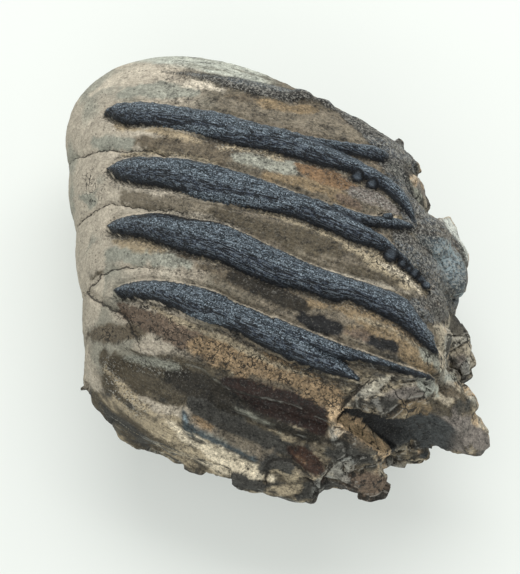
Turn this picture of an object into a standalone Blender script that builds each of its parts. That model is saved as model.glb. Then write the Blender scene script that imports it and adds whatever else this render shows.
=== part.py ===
# Fossil southern mammoth molar, lying on its side.
#
# A mammoth molar is a stack of tall enamel plates glued together by cementum.
# This piece keeps five plates. The worn crown points to -X, the broken root end to +X,
# and the plates follow one another from +Y to -Y. The tooth rests on one of its two
# broad sides, so the other side, with the enamel ridges standing proud, faces +Z.
# The -Y end is a fracture along the next plate, which has split away.
# Everything grew as one piece, so the model is one solid.

import math

import bmesh
import bpy
import numpy as np
from mathutils import Matrix, Vector, noise

MM = 0.001

# The skin is made with voxels this size, then thinned to about this many triangles. What
# ends within the last distance of the ground after that is worn exactly flat.
FINE_VOXEL = 1.25
TRIANGLES = 8800
FLAT_WITHIN = 0.2

# The crown block, as stations from the far end to the fractured end. Millimetres.
# Each station is a slice along one plate: its crown end and root end in plan, how far
# it bows towards +Y between them, and the heights of its top, widest level and bottom.
STATIONS = [
    # crown x, y     root x, y      bow   top  widest bottom
    (-52.0, 78.2, 34.5, 48.0, 13.2, 47.0, 43.0, 38.0),
    (-58.5, 76.8, 43.0, 43.5, 12.2, 57.0, 43.0, 27.0),
    (-66.5, 73.3, 48.5, 35.5, 11.0, 65.0, 42.0, 16.0),
    (-74.0, 66.0, 51.5, 25.0, 9.5, 70.0, 41.0, 9.5),
    (-77.5, 54.0, 54.5, 8.0, 6.5, 74.5, 39.0, 4.5),
    (-75.5, 34.0, 57.0, -12.0, 5.0, 77.0, 38.0, 1.8),
    (-72.0, 11.0, 57.5, -32.0, 5.0, 77.5, 38.0, 1.0),
    (-69.0, -12.0, 54.0, -47.0, 4.0, 75.5, 38.0, 1.5),
    (-67.0, -27.0, 41.0, -60.0, 0.5, 66.0, 37.0, 5.0),
    (-66.4, -36.3, 27.0, -69.2, -4.4, 53.5, 36.0, 12.0),
    (-64.6, -42.3, 11.0, -75.6, -7.4, 42.0, 35.0, 25.0),
]
CROWN_ROUNDNESS = 2.1
ROOT_ROUNDNESS = 4.2
RING_POINTS = 96
RINGS_PER_STATION = 6

# Pieces of the broken root that stand out of the block: base and tip centres, then the
# width across and the thickness at each.
SPLINTERS = [
    # base               tip                 base size   tip size
    ((43.0, -39.0, 43.0), (64.3, -52.0, 38.0), (24.0, 34.0), (17.0, 18.0)),
    ((53.0, -48.6, 38.0), (70.4, -59.7, 31.0), (23.0, 25.0), (8.5, 8.0)),
    ((50.0, -4.0, 42.0), (65.2, -36.5, 37.0), (12.0, 32.0), (8.5, 12.0)),
    ((53.0, 17.0, 42.0), (61.5, -2.0, 38.0), (14.0, 34.0), (13.0, 20.0)),
    ((56.0, 2.0, 38.0), (59.0, -18.0, 41.0), (12.0, 24.0), (8.0, 17.0)),
    ((38.0, 41.0, 52.0), (48.0, 33.5, 50.0), (14.0, 16.0), (8.0, 9.0)),
    ((14.0, -55.0, 44.0), (34.0, -65.5, 40.0), (16.0, 22.0), (11.0, 15.0)),
    ((4.0, -64.0, 38.0), (36.5, -73.0, 36.0), (15.0, 22.0), (10.0, 15.0)),
    ((-14.0, -66.0, 36.0), (13.0, -77.0, 35.0), (14.0, 18.0), (6.0, 8.0)),
    ((38.0, -52.0, 24.0), (52.0, -61.5, 27.0), (16.0, 16.0), (6.0, 7.0)),
]
SPLINTER_ROUNDNESS = 3.6
SPLINTER_RAGGEDNESS = 0.28
SPLINTER_LUMP = 9.0
SPLINTER_STEPS = 8
SPLINTER_POINTS = 20
SPLINTER_TIP = 0.72

# Rounded lumps of enamel at the root end: centre, radii, turn about Z in degrees.
KNOBS = [
    ((57.0, -3.0, 55.0), (6.4, 11.0, 8.0), 24.0),
    ((50.0, 5.0, 60.0), (8.0, 10.0, 8.0), 24.0),
    ((8.5, 56.5, 66.5), (4.6, 2.4, 2.6), -18.0),
    ((15.5, 55.5, 62.5), (4.0, 3.0, 3.4), -24.0),
    ((20.5, 51.5, 61.5), (3.0, 4.0, 3.0), 35.0),
]

# The pulp cavity, open at the broken root: the points of its middle line and its radius.
CAVITY = [
    (20.0, -55.5, 63.0, 2.5),
    (25.0, -56.0, 59.5, 5.2),
    (33.0, -57.5, 55.0, 7.4),
    (43.0, -60.0, 48.5, 9.0),
    (53.0, -64.5, 40.5, 9.8),
    (60.0, -72.0, 32.0, 10.0),
]
CAVITY_ROWS_PER_SPAN = 4
CAVITY_POINTS = 24

# The worn enamel of each plate on the broad side, as x, then its edge nearer the far
# end and its edge nearer the fractured end. Forks of a plate are rows of their own.
ENAMEL = [
    [
        (-41, 68.5, 68), (-32, 67, 65), (-18, 65, 59.5), (-5, 63.5, 56), (4, 62, 54.5),
        (12, 60, 54.5), (14, 58, 56),
    ],
    [
        (-61, 53, 52.4), (-57, 55.2, 49), (-52, 55.4, 46), (-44, 53.5, 44), (-34, 51, 41.2),
        (-26, 49.3, 38.5), (-16, 46.5, 34.8), (-6, 43.5, 33), (4, 41, 30.4), (14, 37, 27.2),
        (24, 32, 24.3), (30, 28.5, 20.6), (36, 25, 17), (42, 20, 11.5), (45, 14, 8), (46, 9, 7),
    ],
    [(8, 39.5, 37), (14, 38.5, 34.5), (24, 37.6, 32.6), (32, 37.4, 31.4), (36, 36.2, 31.4), (38, 34, 33)],
    [
        (-59, 31, 30.2), (-55, 32.6, 26), (-51, 33.1, 23.8), (-46, 32.5, 21.7), (-39, 31, 19.8),
        (-32, 29.8, 16.8), (-25, 27.7, 13.7), (-13, 23.8, 11), (-1, 19.2, 8.6), (6, 16.2, 6.8),
        (12, 14.2, 4), (17, 12, 2), (24, 8, -1.4), (30, 4, -3), (35, 1, -6.4), (39, -3, -9),
        (43, -7, -12), (46, -10.5, -15), (49, -15, -18.5), (50, -17.5, -18.2),
    ],
    [(18, 12.6, 9), (24, 10.4, 6.2), (31, 8.4, 4.4), (36, 9.4, 4.4), (41, 8, 4.6), (45, 6.4, 5.4)],
    [
        (-58, 10, 9.2), (-55.5, 11.3, 6.3), (-51, 11.8, 4.6), (-46, 11.6, 3), (-39, 10.4, -0.5),
        (-30, 7.5, -4.6), (-20, 5.2, -8), (-13, 2.2, -11.6), (-3, -3, -16.2), (7, -8, -18.4),
        (14, -11, -21), (19, -12.7, -22.3), (22, -13.8, -21.6), (29, -16, -25), (36, -18, -28.2),
        (41, -20.5, -31.2), (44, -24, -33.4), (47, -28, -35.6), (50, -31.5, -37.4), (51.5, -36, -37),
    ],
    [
        (-55, -13, -13.9), (-52.5, -11.9, -16), (-47, -11.8, -17.6), (-40, -12.6, -19.8),
        (-34, -14, -22.6), (-27, -16, -26.7), (-20, -18.5, -29.2), (-14, -22, -31.6),
        (-8, -24.5, -34.8), (-1, -28, -38.2), (7, -32, -41.9), (13, -35.8, -44.2),
        (18, -39, -45.4), (22, -42.4, -46.4), (26, -46, -47.2),
    ],
    [
        (-2, -26.8, -31), (7, -30.6, -36), (13, -33, -38.8), (20, -36, -41), (27, -38.2, -41.6),
        (35, -41, -43.4), (42, -42.7, -45), (48, -43.8, -45.6), (51, -44.4, -45),
    ],
]
ENAMEL_HEIGHT = 2.6
FAR_ENAMEL_HEIGHT = 0.9
ENAMEL_SHOULDER = 3.6

# Where the plates run together at the root end, the enamel is one rough patch.
ENAMEL_PATCH = [
    (36, 31), (41, 30), (44, 22), (47, 17), (50, 13), (55, 11), (60, 8), (63, 3), (66, -3), (66, -9),
    (62, -13), (58, -16), (55, -21), (51, -25), (45, -26), (42, -22), (49, -20), (51, -16), (49, -10),
    (46, -6), (42, -1), (41, 2), (44, 4), (43, 7), (42, 13), (40, 22),
]
ENAMEL_PATCH_HEIGHT = 1.0

# Beads of enamel along the plates' edges: x, y and radius.
BEADS = [
    (27.5, 24.0, 2.3), (32.3, 21.6, 2.2), (36.5, 8.2, 2.4), (37.0, -5.6, 2.4), (41.0, -9.2, 1.9),
    (43.8, -10.8, 1.6), (46.0, -12.8, 1.6), (48.0, -15.0, 1.5), (50.0, -17.4, 1.5),
]
BEAD_HEIGHT = 1.8

# Creases between the lobes of cementum round each plate, from the crown end inwards.
CREASES = [
    [(-78, 44), (-71, 41), (-65, 39), (-61, 39), (-54, 36.5), (-46, 35), (-38, 32)],
    [(-76, 19), (-70, 17), (-65, 17), (-62, 18), (-58, 18), (-52, 16), (-43, 13), (-32, 10)],
    [(-73, -8), (-66, -9), (-64, -8), (-61, -7), (-58, -5.5), (-51, -6), (-42, -8)],
]
CREASE_DEPTH = 1.3
CREASE_WIDTH = 2.0

# The hollow left by the plate that split away, and the ridges that stand in it.
TROUGH = [
    (-53, -30), (-47, -33), (-39, -37), (-31, -38), (-25, -39.5), (-21, -43), (-14, -47), (-6, -49),
    (2, -51), (9, -53), (15, -56), (18, -58), (17, -63), (8, -67), (-4, -67.5), (-18, -63),
    (-28, -57.5), (-32, -54), (-38, -54), (-43, -52), (-50, -48), (-56, -44), (-59, -37),
]
TROUGH_DEPTH = 3.0
TROUGH_EDGE = 3.0
SPLIT_RIDGE = [(-21, -50), (-14, -52), (-4, -56), (7, -60), (17, -63)]
SPLIT_RIDGE_HEIGHT = 1.6
SPLIT_RIDGE_WIDTH = 2.6
LAST_ENAMEL = [(-31, -52), (-30, -56), (-26, -58.5), (-18, -62.5), (-9, -66), (-4, -68)]
LAST_ENAMEL_HEIGHT = 1.6
LAST_ENAMEL_WIDTH = 2.4

# A plate's face has finger-like columns, and the root end shows the plates' broken layers.
COLUMN_START = 3.0
COLUMN_SPACING = 13.0
COLUMN_HEIGHT = 2.0
ROOT_LAYER_SPACING = 10.5
ROOT_LAYER_SLANT = 0.45
ROOT_LAYER_HEIGHT = 2.2
# Both patterns are heights from 0 to 1, less the share that keeps the outline where it is.
PATTERN_MIDDLE = 0.8

# Cracks that part the root's dentine from the plates.
CRACKS = [
    [(28, -46.5), (25, -49), (21, -53), (19, -57)],
    [(-65, -10), (-59, -16), (-53, -20), (-50, -24), (-47, -30)],
    [(-4, -73), (-3.5, -68), (1, -67), (6, -69), (11, -73)],
]
CRACK_DEPTH = 1.4
CRACK_WIDTH = 1.6
# Points along each span of the curves through the tables above.
CURVE_STEPS = 3

# Unevenness: how high and how wide its lumps are, all over and then where the tooth broke.
LUMP_HEIGHT = 0.35
LUMP_SIZE = 9.0
BROKEN_HEIGHT = 0.8
BROKEN_SIZE = 5.0


def clear_scene():
    for old in list(bpy.data.objects):
        bpy.data.objects.remove(old, do_unlink=True)


def through(rows, per_span):
    """Points on a Catmull-Rom curve through the rows, end rows included."""
    rows = np.array(rows, float)
    padded = np.vstack([2 * rows[0] - rows[1], rows, 2 * rows[-1] - rows[-2]])
    found = []
    for i in range(1, len(rows)):
        a, b, c, d = padded[i - 1 : i + 3]
        for t in np.arange(per_span) / per_span:
            found.append(
                b
                + 0.5 * t * (c - a)
                + t * t * (a - 2.5 * b + 2 * c - 0.5 * d)
                + t**3 * (-0.5 * a + 1.5 * b - 1.5 * c + 0.5 * d)
            )
    found.append(rows[-1])
    return np.array(found)


def bow_shape(share):
    """How much of its bow a slice has at a share of its length: most of it nearer the crown."""
    warped = share**0.7
    return 4 * warped * (1 - warped)


def plate_slice(station):
    """The closed outline of one slice along a plate: rounded at the crown, square at the root."""
    crown, root = station[0:2], station[2:4]
    bow, top, widest, bottom = station[4:8]
    chord = root - crown
    across = np.array([-chord[1], chord[0]]) / np.hypot(*chord)
    ring = []
    for i in range(RING_POINTS):
        angle = 2 * math.pi * i / RING_POINTS
        c, s = math.cos(angle), math.sin(angle)
        power = 2 / (ROOT_ROUNDNESS if c > 0 else CROWN_ROUNDNESS)
        along = math.copysign(abs(c) ** power, c)
        rise = abs(s) ** power
        share = (along + 1) / 2
        plan = crown + chord * share + across * bow * bow_shape(share)
        z = widest + rise * (top - widest if s > 0 else bottom - widest)
        ring.append((plan[0] * MM, plan[1] * MM, z * MM))
    return ring


def loft(shape, outlines):
    """Skins outlines of equal length, one after another, and closes both ends."""
    rings = [[shape.verts.new(point) for point in outline] for outline in outlines]
    count = len(rings[0])
    faces = []
    for near, far in zip(rings, rings[1:]):
        for i in range(count):
            j = (i + 1) % count
            faces.append(shape.faces.new((near[i], near[j], far[j], far[i])))
    faces.append(shape.faces.new(rings[0][::-1]))
    faces.append(shape.faces.new(rings[-1]))
    bmesh.ops.recalc_face_normals(shape, faces=faces)


def add_knob(shape, centre, radii, turn):
    """A rounded lump."""
    place = Matrix.Translation(Vector(centre) * MM) @ Matrix.Rotation(math.radians(turn), 4, "Z")
    stretch = Matrix.Diagonal(Vector(radii) * MM).to_4x4()
    bmesh.ops.create_icosphere(shape, subdivisions=3, radius=1, matrix=place @ stretch)


def add_splinter(shape, base, tip, base_size, tip_size):
    """A tapering, uneven wedge of dentine from base to tip."""
    base, tip = Vector(base), Vector(tip)
    lengthwise = (tip - base).normalized()
    sideways = lengthwise.cross(Vector((0, 0, 1))).normalized()
    upwards = sideways.cross(lengthwise)
    outlines = []
    for step in range(SPLINTER_STEPS + 1):
        share = step / SPLINTER_STEPS
        size = [(a + (b - a) * share) / 2 for a, b in zip(base_size, tip_size)]
        if step == SPLINTER_STEPS:
            size = [value * SPLINTER_TIP for value in size]
        centre = base.lerp(tip, share)
        outline = []
        for i in range(SPLINTER_POINTS):
            angle = 2 * math.pi * i / SPLINTER_POINTS
            c, s = math.cos(angle), math.sin(angle)
            power = 2 / SPLINTER_ROUNDNESS
            offset = sideways * math.copysign(abs(c) ** power, c) * size[0]
            offset += upwards * math.copysign(abs(s) ** power, s) * size[1]
            point = centre + offset
            point += offset * SPLINTER_RAGGEDNESS * noise.noise(point / SPLINTER_LUMP)
            outline.append(point * MM)
        outlines.append(outline)
    loft(shape, outlines)


def as_object(name, shape):
    mesh = bpy.data.meshes.new(name)
    shape.to_mesh(mesh)
    shape.free()
    made = bpy.data.objects.new(name, mesh)
    bpy.context.collection.objects.link(made)
    return made


def cavity_cutter():
    """The space of the pulp cavity, as a round tunnel that widens towards the root."""
    shape = bmesh.new()
    rows = through(CAVITY, CAVITY_ROWS_PER_SPAN)
    outlines = []
    for i, (x, y, z, radius) in enumerate(rows):
        run = rows[min(i + 1, len(rows) - 1)] - rows[max(i - 1, 0)]
        lengthwise = Vector(run[:3]).normalized()
        sideways = lengthwise.cross(Vector((0, 0, 1))).normalized()
        upwards = sideways.cross(lengthwise)
        outline = []
        for k in range(CAVITY_POINTS):
            angle = 2 * math.pi * k / CAVITY_POINTS
            offset = (sideways * math.cos(angle) + upwards * math.sin(angle)) * radius
            outline.append((Vector((x, y, z)) + offset) * MM)
        outlines.append(outline)
    loft(shape, outlines)
    cutter = as_object("pulp_cavity", shape)
    cutter.hide_render = True
    cutter.display_type = "WIRE"
    return cutter


def solid_block(voxel):
    """The block, its splinters and its lumps as one skin, with the pulp cavity cut out."""
    shape = bmesh.new()
    loft(shape, [plate_slice(station) for station in through(STATIONS, RINGS_PER_STATION)])
    for splinter in SPLINTERS:
        add_splinter(shape, *splinter)
    for knob in KNOBS:
        add_knob(shape, *knob)
    block = as_object("block", shape)
    add_remesh(block, "fuse", voxel)
    hollow = block.modifiers.new("hollow", "BOOLEAN")
    hollow.operation = "DIFFERENCE"
    hollow.solver = "EXACT"
    hollow.object = cavity_cutter()
    add_remesh(block, "even", voxel)
    return block


def add_remesh(block, name, voxel):
    remesh = block.modifiers.new(name, "REMESH")
    remesh.mode = "VOXEL"
    remesh.voxel_size = voxel * MM


def evaluated_copy(source, name):
    """A new object that holds the source's mesh as its modifiers leave it."""
    graph = bpy.context.evaluated_depsgraph_get()
    mesh = bpy.data.meshes.new_from_object(source.evaluated_get(graph), depsgraph=graph)
    mesh.name = name
    copy = bpy.data.objects.new(name, mesh)
    bpy.context.collection.objects.link(copy)
    return copy


def smoothstep(low, high, value):
    """0 at low, 1 at high, smooth between. low may be the larger."""
    share = np.clip((value - low) / (high - low), 0, 1)
    return share * share * (3 - 2 * share)


def distance_to_line(plan, line):
    """How far each plan point is from a polyline."""
    nearest = np.full(len(plan), np.inf)
    for a, b in zip(line, line[1:]):
        run = b - a
        share = np.clip((plan - a) @ run / (run @ run), 0, 1)
        nearest = np.minimum(nearest, np.hypot(*(plan - a - share[:, None] * run).T))
    return nearest


def depth_inside(plan, outline):
    """How far each plan point is inside a closed outline. Points outside count as negative."""
    closed = np.vstack([outline, outline[:1]])
    inside = np.zeros(len(plan), bool)
    for (ax, ay), (bx, by) in zip(closed, closed[1:]):
        if ay == by:
            continue
        spans = (ay > plan[:, 1]) != (by > plan[:, 1])
        inside ^= spans & (plan[:, 0] < ax + (plan[:, 1] - ay) * (bx - ax) / (by - ay))
    return np.where(inside, 1, -1) * distance_to_line(plan, closed)


def band_outline(rows):
    """The closed outline of an enamel band, from its two edges."""
    rows = through(rows, CURVE_STEPS)
    far_edge = rows[:, [0, 1]]
    near_edge = rows[::-1][:, [0, 2]]
    return np.vstack([far_edge, near_edge])


def rounded(depth, shoulder):
    """A height from 0 to 1 with a round edge, from how far inside its outline a point is."""
    share = np.clip(depth / shoulder, 0, 1)
    return (1 - (1 - share) ** 2) ** 0.8


def enamel_relief(plan):
    """The height of the enamel above the cementum, on either broad side."""
    height = np.zeros(len(plan))
    for number, rows in enumerate(ENAMEL):
        proud = FAR_ENAMEL_HEIGHT if number == 0 else ENAMEL_HEIGHT
        depth = depth_inside(plan, band_outline(rows))
        height = np.maximum(height, proud * rounded(depth, ENAMEL_SHOULDER))
    patch = depth_inside(plan, np.array(ENAMEL_PATCH, float))
    height = np.maximum(height, ENAMEL_PATCH_HEIGHT * rounded(patch, ENAMEL_SHOULDER))
    for x, y, radius in BEADS:
        away = np.hypot(plan[:, 0] - x, plan[:, 1] - y) / radius
        height += BEAD_HEIGHT * np.sqrt(np.clip(1 - away**2, 0, 1))
    return height


def groove(plan, line, depth, width):
    """A V-shaped furrow along a polyline, as a height below zero."""
    away = distance_to_line(plan, through(line, CURVE_STEPS))
    return -depth * np.clip(1 - away / width, 0, 1)


def crest(plan, line, height, width):
    """A rounded ridge along a polyline."""
    away = distance_to_line(plan, through(line, CURVE_STEPS))
    return height * np.clip(1 - (away / width) ** 2, 0, 1)


def split_face_relief(plan):
    """The trough, ridge and last strip of enamel where the next plate split away."""
    edge = depth_inside(plan, np.array(TROUGH, float))
    height = -TROUGH_DEPTH * smoothstep(0, TROUGH_EDGE, edge)
    height += crest(plan, SPLIT_RIDGE, SPLIT_RIDGE_HEIGHT, SPLIT_RIDGE_WIDTH)
    height += crest(plan, LAST_ENAMEL, LAST_ENAMEL_HEIGHT, LAST_ENAMEL_WIDTH)
    return height


def plate_face_relief(points, normals):
    """The finger-like columns of a plate's face, along X, at the far end and the split end."""
    column = np.abs(np.sin(math.pi * (points[:, 2] - COLUMN_START) / COLUMN_SPACING))
    weight = smoothstep(0.35, 0.75, np.abs(normals[:, 1])) * smoothstep(0.35, 0.1, normals[:, 2])
    return weight * COLUMN_HEIGHT * (np.sqrt(column) - PATTERN_MIDDLE)


def root_face_relief(points, normals):
    """The broken ends of the plates at the root: upright layers, with ragged dentine between."""
    along = points[:, 1] + ROOT_LAYER_SLANT * points[:, 0]
    layer = np.abs(np.sin(math.pi * along / ROOT_LAYER_SPACING))
    weight = smoothstep(0.35, 0.75, normals[:, 0]) * smoothstep(25, 40, points[:, 0])
    weight *= smoothstep(60, 54, points[:, 0])
    return weight * ROOT_LAYER_HEIGHT * (np.sqrt(layer) - PATTERN_MIDDLE)


def unevenness(points, size, seed):
    """Smooth noise from about -1 to 1, whose lumps are about the size given."""
    shift = Vector((seed * 17.3, seed * 5.1, seed * 9.7))
    return np.array([noise.noise(Vector(point) / size + shift) for point in points])


def relief(points, normals):
    """How far each point of the block moves out along its normal."""
    plan = points[:, :2]
    upper = smoothstep(0.15, 0.5, normals[:, 2])
    lower = smoothstep(0.3, 0.7, -normals[:, 2])
    crown = smoothstep(-35, -50, points[:, 0])
    height = (upper + lower) * enamel_relief(plan)
    height += upper * split_face_relief(plan)
    for line in CREASES:
        height += (crown + (1 - crown) * upper) * groove(plan, line, CREASE_DEPTH, CREASE_WIDTH)
    for line in CRACKS:
        height += upper * groove(plan, line, CRACK_DEPTH, CRACK_WIDTH)
    height += plate_face_relief(points, normals)
    height += root_face_relief(points, normals)
    broken = smoothstep(20, 45, points[:, 0]) + smoothstep(-25, -45, points[:, 1])
    height += LUMP_HEIGHT * unevenness(points, LUMP_SIZE, 1)
    height += np.clip(broken, 0, 1) * (1 - upper) * BROKEN_HEIGHT * unevenness(points, BROKEN_SIZE, 2)
    return height


def carve(block):
    """Moves the block's points out by their relief, and wears the underside flat at z = 0."""
    mesh = block.data
    count = len(mesh.vertices)
    points = np.empty(count * 3)
    normals = np.empty(count * 3)
    mesh.vertices.foreach_get("co", points)
    mesh.vertex_normals.foreach_get("vector", normals)
    points = points.reshape(-1, 3) / MM
    normals = normals.reshape(-1, 3)
    points += normals * relief(points, normals)[:, None]
    points[:, 2] = np.maximum(points[:, 2], 0)
    mesh.vertices.foreach_set("co", (points * MM).ravel())
    mesh.update()


def thinned(block, triangles):
    """Keeps about that many triangles, closer together where the shape turns."""
    block.data.calc_loop_triangles()
    thin = block.modifiers.new("thin", "DECIMATE")
    thin.ratio = triangles / len(block.data.loop_triangles)
    thin.use_collapse_triangulate = True
    return evaluated_copy(block, "molar")


def settle(molar):
    """Makes the worn patches exactly flat, and puts the origin under the middle of the box."""
    mesh = molar.data
    points = np.empty(len(mesh.vertices) * 3)
    mesh.vertices.foreach_get("co", points)
    points = points.reshape(-1, 3)
    points[points[:, 2] < FLAT_WITHIN * MM, 2] = 0
    middle = (points.min(axis=0) + points.max(axis=0)) / 2
    points[:, :2] -= middle[:2]
    mesh.vertices.foreach_set("co", points.ravel())
    mesh.update()
    mesh.shade_smooth()
    mesh.set_sharp_from_angle(angle=math.radians(40))


def fossil_material():
    """Brown-grey cementum, the colour of most of the surface."""
    material = bpy.data.materials.new("fossil_cementum")
    material.use_nodes = True
    shader = material.node_tree.nodes["Principled BSDF"]
    shader.inputs["Base Color"].default_value = (0.21, 0.16, 0.115, 1)
    shader.inputs["Roughness"].default_value = 0.62
    shader.inputs["Metallic"].default_value = 0.0
    return material


clear_scene()
block = solid_block(FINE_VOXEL)
carved = evaluated_copy(block, "carved")
carve(carved)
molar = thinned(carved, TRIANGLES)
settle(molar)
molar.data.materials.append(fossil_material())
for helper in (block, carved):
    bpy.data.objects.remove(helper, do_unlink=True)
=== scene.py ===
# %% [markdown]
# The object is the broken cheek tooth of a southern mammoth, turned to stone. A mammoth
# molar is a loaf of tall enamel plates with cementum, a bone-like glue, between them. This
# piece keeps five plates. It lies on one broad side, its worn crown to the left (-X) and
# its broken roots to the right (+X), and the sixth plate has split away at the front (-Y).
#
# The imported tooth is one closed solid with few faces. It is loaded first, because every
# later step has to stay inside it.

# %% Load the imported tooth
import functools
import math

import bmesh
import bpy
import numpy as np
from mathutils import Matrix, Vector, noise


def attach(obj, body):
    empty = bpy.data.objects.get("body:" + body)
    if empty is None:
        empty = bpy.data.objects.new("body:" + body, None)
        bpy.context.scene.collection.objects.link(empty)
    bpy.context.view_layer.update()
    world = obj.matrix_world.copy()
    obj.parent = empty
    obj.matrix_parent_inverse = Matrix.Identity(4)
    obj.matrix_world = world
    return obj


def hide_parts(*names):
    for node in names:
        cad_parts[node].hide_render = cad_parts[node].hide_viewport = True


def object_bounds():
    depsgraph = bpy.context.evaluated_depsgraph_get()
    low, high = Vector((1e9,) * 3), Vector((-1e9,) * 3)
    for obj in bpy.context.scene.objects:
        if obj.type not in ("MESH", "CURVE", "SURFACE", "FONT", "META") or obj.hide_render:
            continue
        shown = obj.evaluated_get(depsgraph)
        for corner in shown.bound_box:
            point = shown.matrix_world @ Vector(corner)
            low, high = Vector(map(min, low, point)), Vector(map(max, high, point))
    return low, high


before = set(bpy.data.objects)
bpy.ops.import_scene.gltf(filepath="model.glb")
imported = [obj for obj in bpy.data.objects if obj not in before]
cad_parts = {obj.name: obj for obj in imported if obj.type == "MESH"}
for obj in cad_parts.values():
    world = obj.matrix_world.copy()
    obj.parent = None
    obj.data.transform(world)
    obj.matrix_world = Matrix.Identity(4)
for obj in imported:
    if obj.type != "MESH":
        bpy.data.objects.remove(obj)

MM = 0.001
box_low, box_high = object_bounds()
packed_box = [list(box_low), list(box_high)]
print("packed tooth, mm:", [round((b - a) / MM, 1) for a, b in zip(box_low, box_high)])

# %% [markdown]
# The camera comes next, so that every later step can be judged from the picture. The
# photograph looks down on the tooth from the front, 70 degrees above the table, from about
# half a metre away. A camera that is placed by that angle and distance, and aimed at one
# point inside the tooth, keeps the perspective right. Moving it by hand would not.

# %% Place the camera
CAMERA_RISE = 70.0
CAMERA_DISTANCE = 470.0
CAMERA_AIM = (-3.7, -4.9, 38.0)
CAMERA_LENS = 83.4

rise = math.radians(CAMERA_RISE)
aim = Vector(CAMERA_AIM) * MM
backwards = Vector((0, -math.cos(rise), math.sin(rise)))
camera_data = bpy.data.cameras.new("photo_camera")
camera_data.lens = CAMERA_LENS
camera = bpy.data.objects.new("photo_camera", camera_data)
camera.location = aim + backwards * CAMERA_DISTANCE * MM
camera.rotation_euler = (math.pi / 2 - rise, 0, 0)
bpy.context.scene.collection.objects.link(camera)
bpy.context.scene.camera = camera
print("camera is", round(camera.location.z / MM), "mm above the table")

# %% [markdown]
# The block of the tooth is one form, so it could be sculpted from a ball, or lofted. A loft
# suits it best: a slice along a plate is easy to read in the photograph, and the slices
# follow one another as the plates do. All sizes are millimetres in the tooth's own frame.

# %% Slices along the plates
# Each station is a slice along one plate: its crown end and root end in plan, how far it
# bows towards +Y between them, and the heights of its top, widest level and bottom.
STATIONS = [
    # crown x, y     root x, y      bow   top  widest bottom
    (-52.0, 78.2, 34.5, 48.0, 13.2, 47.0, 43.0, 38.0),
    (-58.5, 76.8, 43.0, 43.5, 12.2, 57.0, 43.0, 27.0),
    (-66.5, 73.3, 48.5, 35.5, 11.0, 65.0, 42.0, 16.0),
    (-74.0, 66.0, 51.5, 25.0, 9.5, 70.0, 41.0, 9.5),
    (-77.5, 54.0, 54.5, 8.0, 6.5, 74.5, 39.0, 4.5),
    (-75.5, 34.0, 57.0, -12.0, 5.0, 77.0, 38.0, 1.8),
    (-72.0, 11.0, 57.5, -32.0, 5.0, 77.5, 38.0, 1.0),
    (-69.0, -12.0, 54.0, -47.0, 4.0, 75.5, 38.0, 1.5),
    (-67.0, -27.0, 41.0, -60.0, 0.5, 66.0, 37.0, 5.0),
    (-66.4, -36.3, 27.0, -69.2, -4.4, 53.5, 36.0, 12.0),
    (-64.6, -42.3, 11.0, -75.6, -7.4, 42.0, 35.0, 25.0),
]
CROWN_ROUNDNESS = 2.1
ROOT_ROUNDNESS = 4.2
RING_POINTS = 96
RINGS_PER_STATION = 6


def through(rows, per_span):
    """Points on a Catmull-Rom curve through the rows, end rows included."""
    rows = np.array(rows, float)
    padded = np.vstack([2 * rows[0] - rows[1], rows, 2 * rows[-1] - rows[-2]])
    found = []
    for i in range(1, len(rows)):
        a, b, c, d = padded[i - 1 : i + 3]
        for t in np.arange(per_span) / per_span:
            found.append(
                b
                + 0.5 * t * (c - a)
                + t * t * (a - 2.5 * b + 2 * c - 0.5 * d)
                + t**3 * (-0.5 * a + 1.5 * b - 1.5 * c + 0.5 * d)
            )
    found.append(rows[-1])
    return np.array(found)


def bow_shape(share):
    """How much of its bow a slice has at a share of its length: most of it nearer the crown."""
    warped = share**0.7
    return 4 * warped * (1 - warped)


def plate_slice(station):
    """The closed outline of one slice along a plate: rounded at the crown, square at the root."""
    crown, root = station[0:2], station[2:4]
    bow, top, widest, bottom = station[4:8]
    chord = root - crown
    across = np.array([-chord[1], chord[0]]) / np.hypot(*chord)
    ring = []
    for i in range(RING_POINTS):
        angle = 2 * math.pi * i / RING_POINTS
        c, s = math.cos(angle), math.sin(angle)
        power = 2 / (ROOT_ROUNDNESS if c > 0 else CROWN_ROUNDNESS)
        along = math.copysign(abs(c) ** power, c)
        height = abs(s) ** power
        share = (along + 1) / 2
        plan = crown + chord * share + across * bow * bow_shape(share)
        z = widest + height * (top - widest if s > 0 else bottom - widest)
        ring.append((plan[0] * MM, plan[1] * MM, z * MM))
    return ring


def loft(shape, outlines):
    """Skins outlines of equal length, one after another, and closes both ends."""
    rings = [[shape.verts.new(point) for point in outline] for outline in outlines]
    count = len(rings[0])
    faces = []
    for near, far in zip(rings, rings[1:]):
        for i in range(count):
            j = (i + 1) % count
            faces.append(shape.faces.new((near[i], near[j], far[j], far[i])))
    faces.append(shape.faces.new(rings[0][::-1]))
    faces.append(shape.faces.new(rings[-1]))
    bmesh.ops.recalc_face_normals(shape, faces=faces)


tooth_shape = bmesh.new()
loft(tooth_shape, [plate_slice(station) for station in through(STATIONS, RINGS_PER_STATION)])
print("block:", len(tooth_shape.faces), "faces")

# %% [markdown]
# The right-hand end broke where the roots began. What is left stands out as wedges of
# dentine, and a few rounded lumps of enamel sit at the edge. Wedges could be cut from the
# block, but adding each one as a tapering loft keeps its place and size in plain view.

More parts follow.
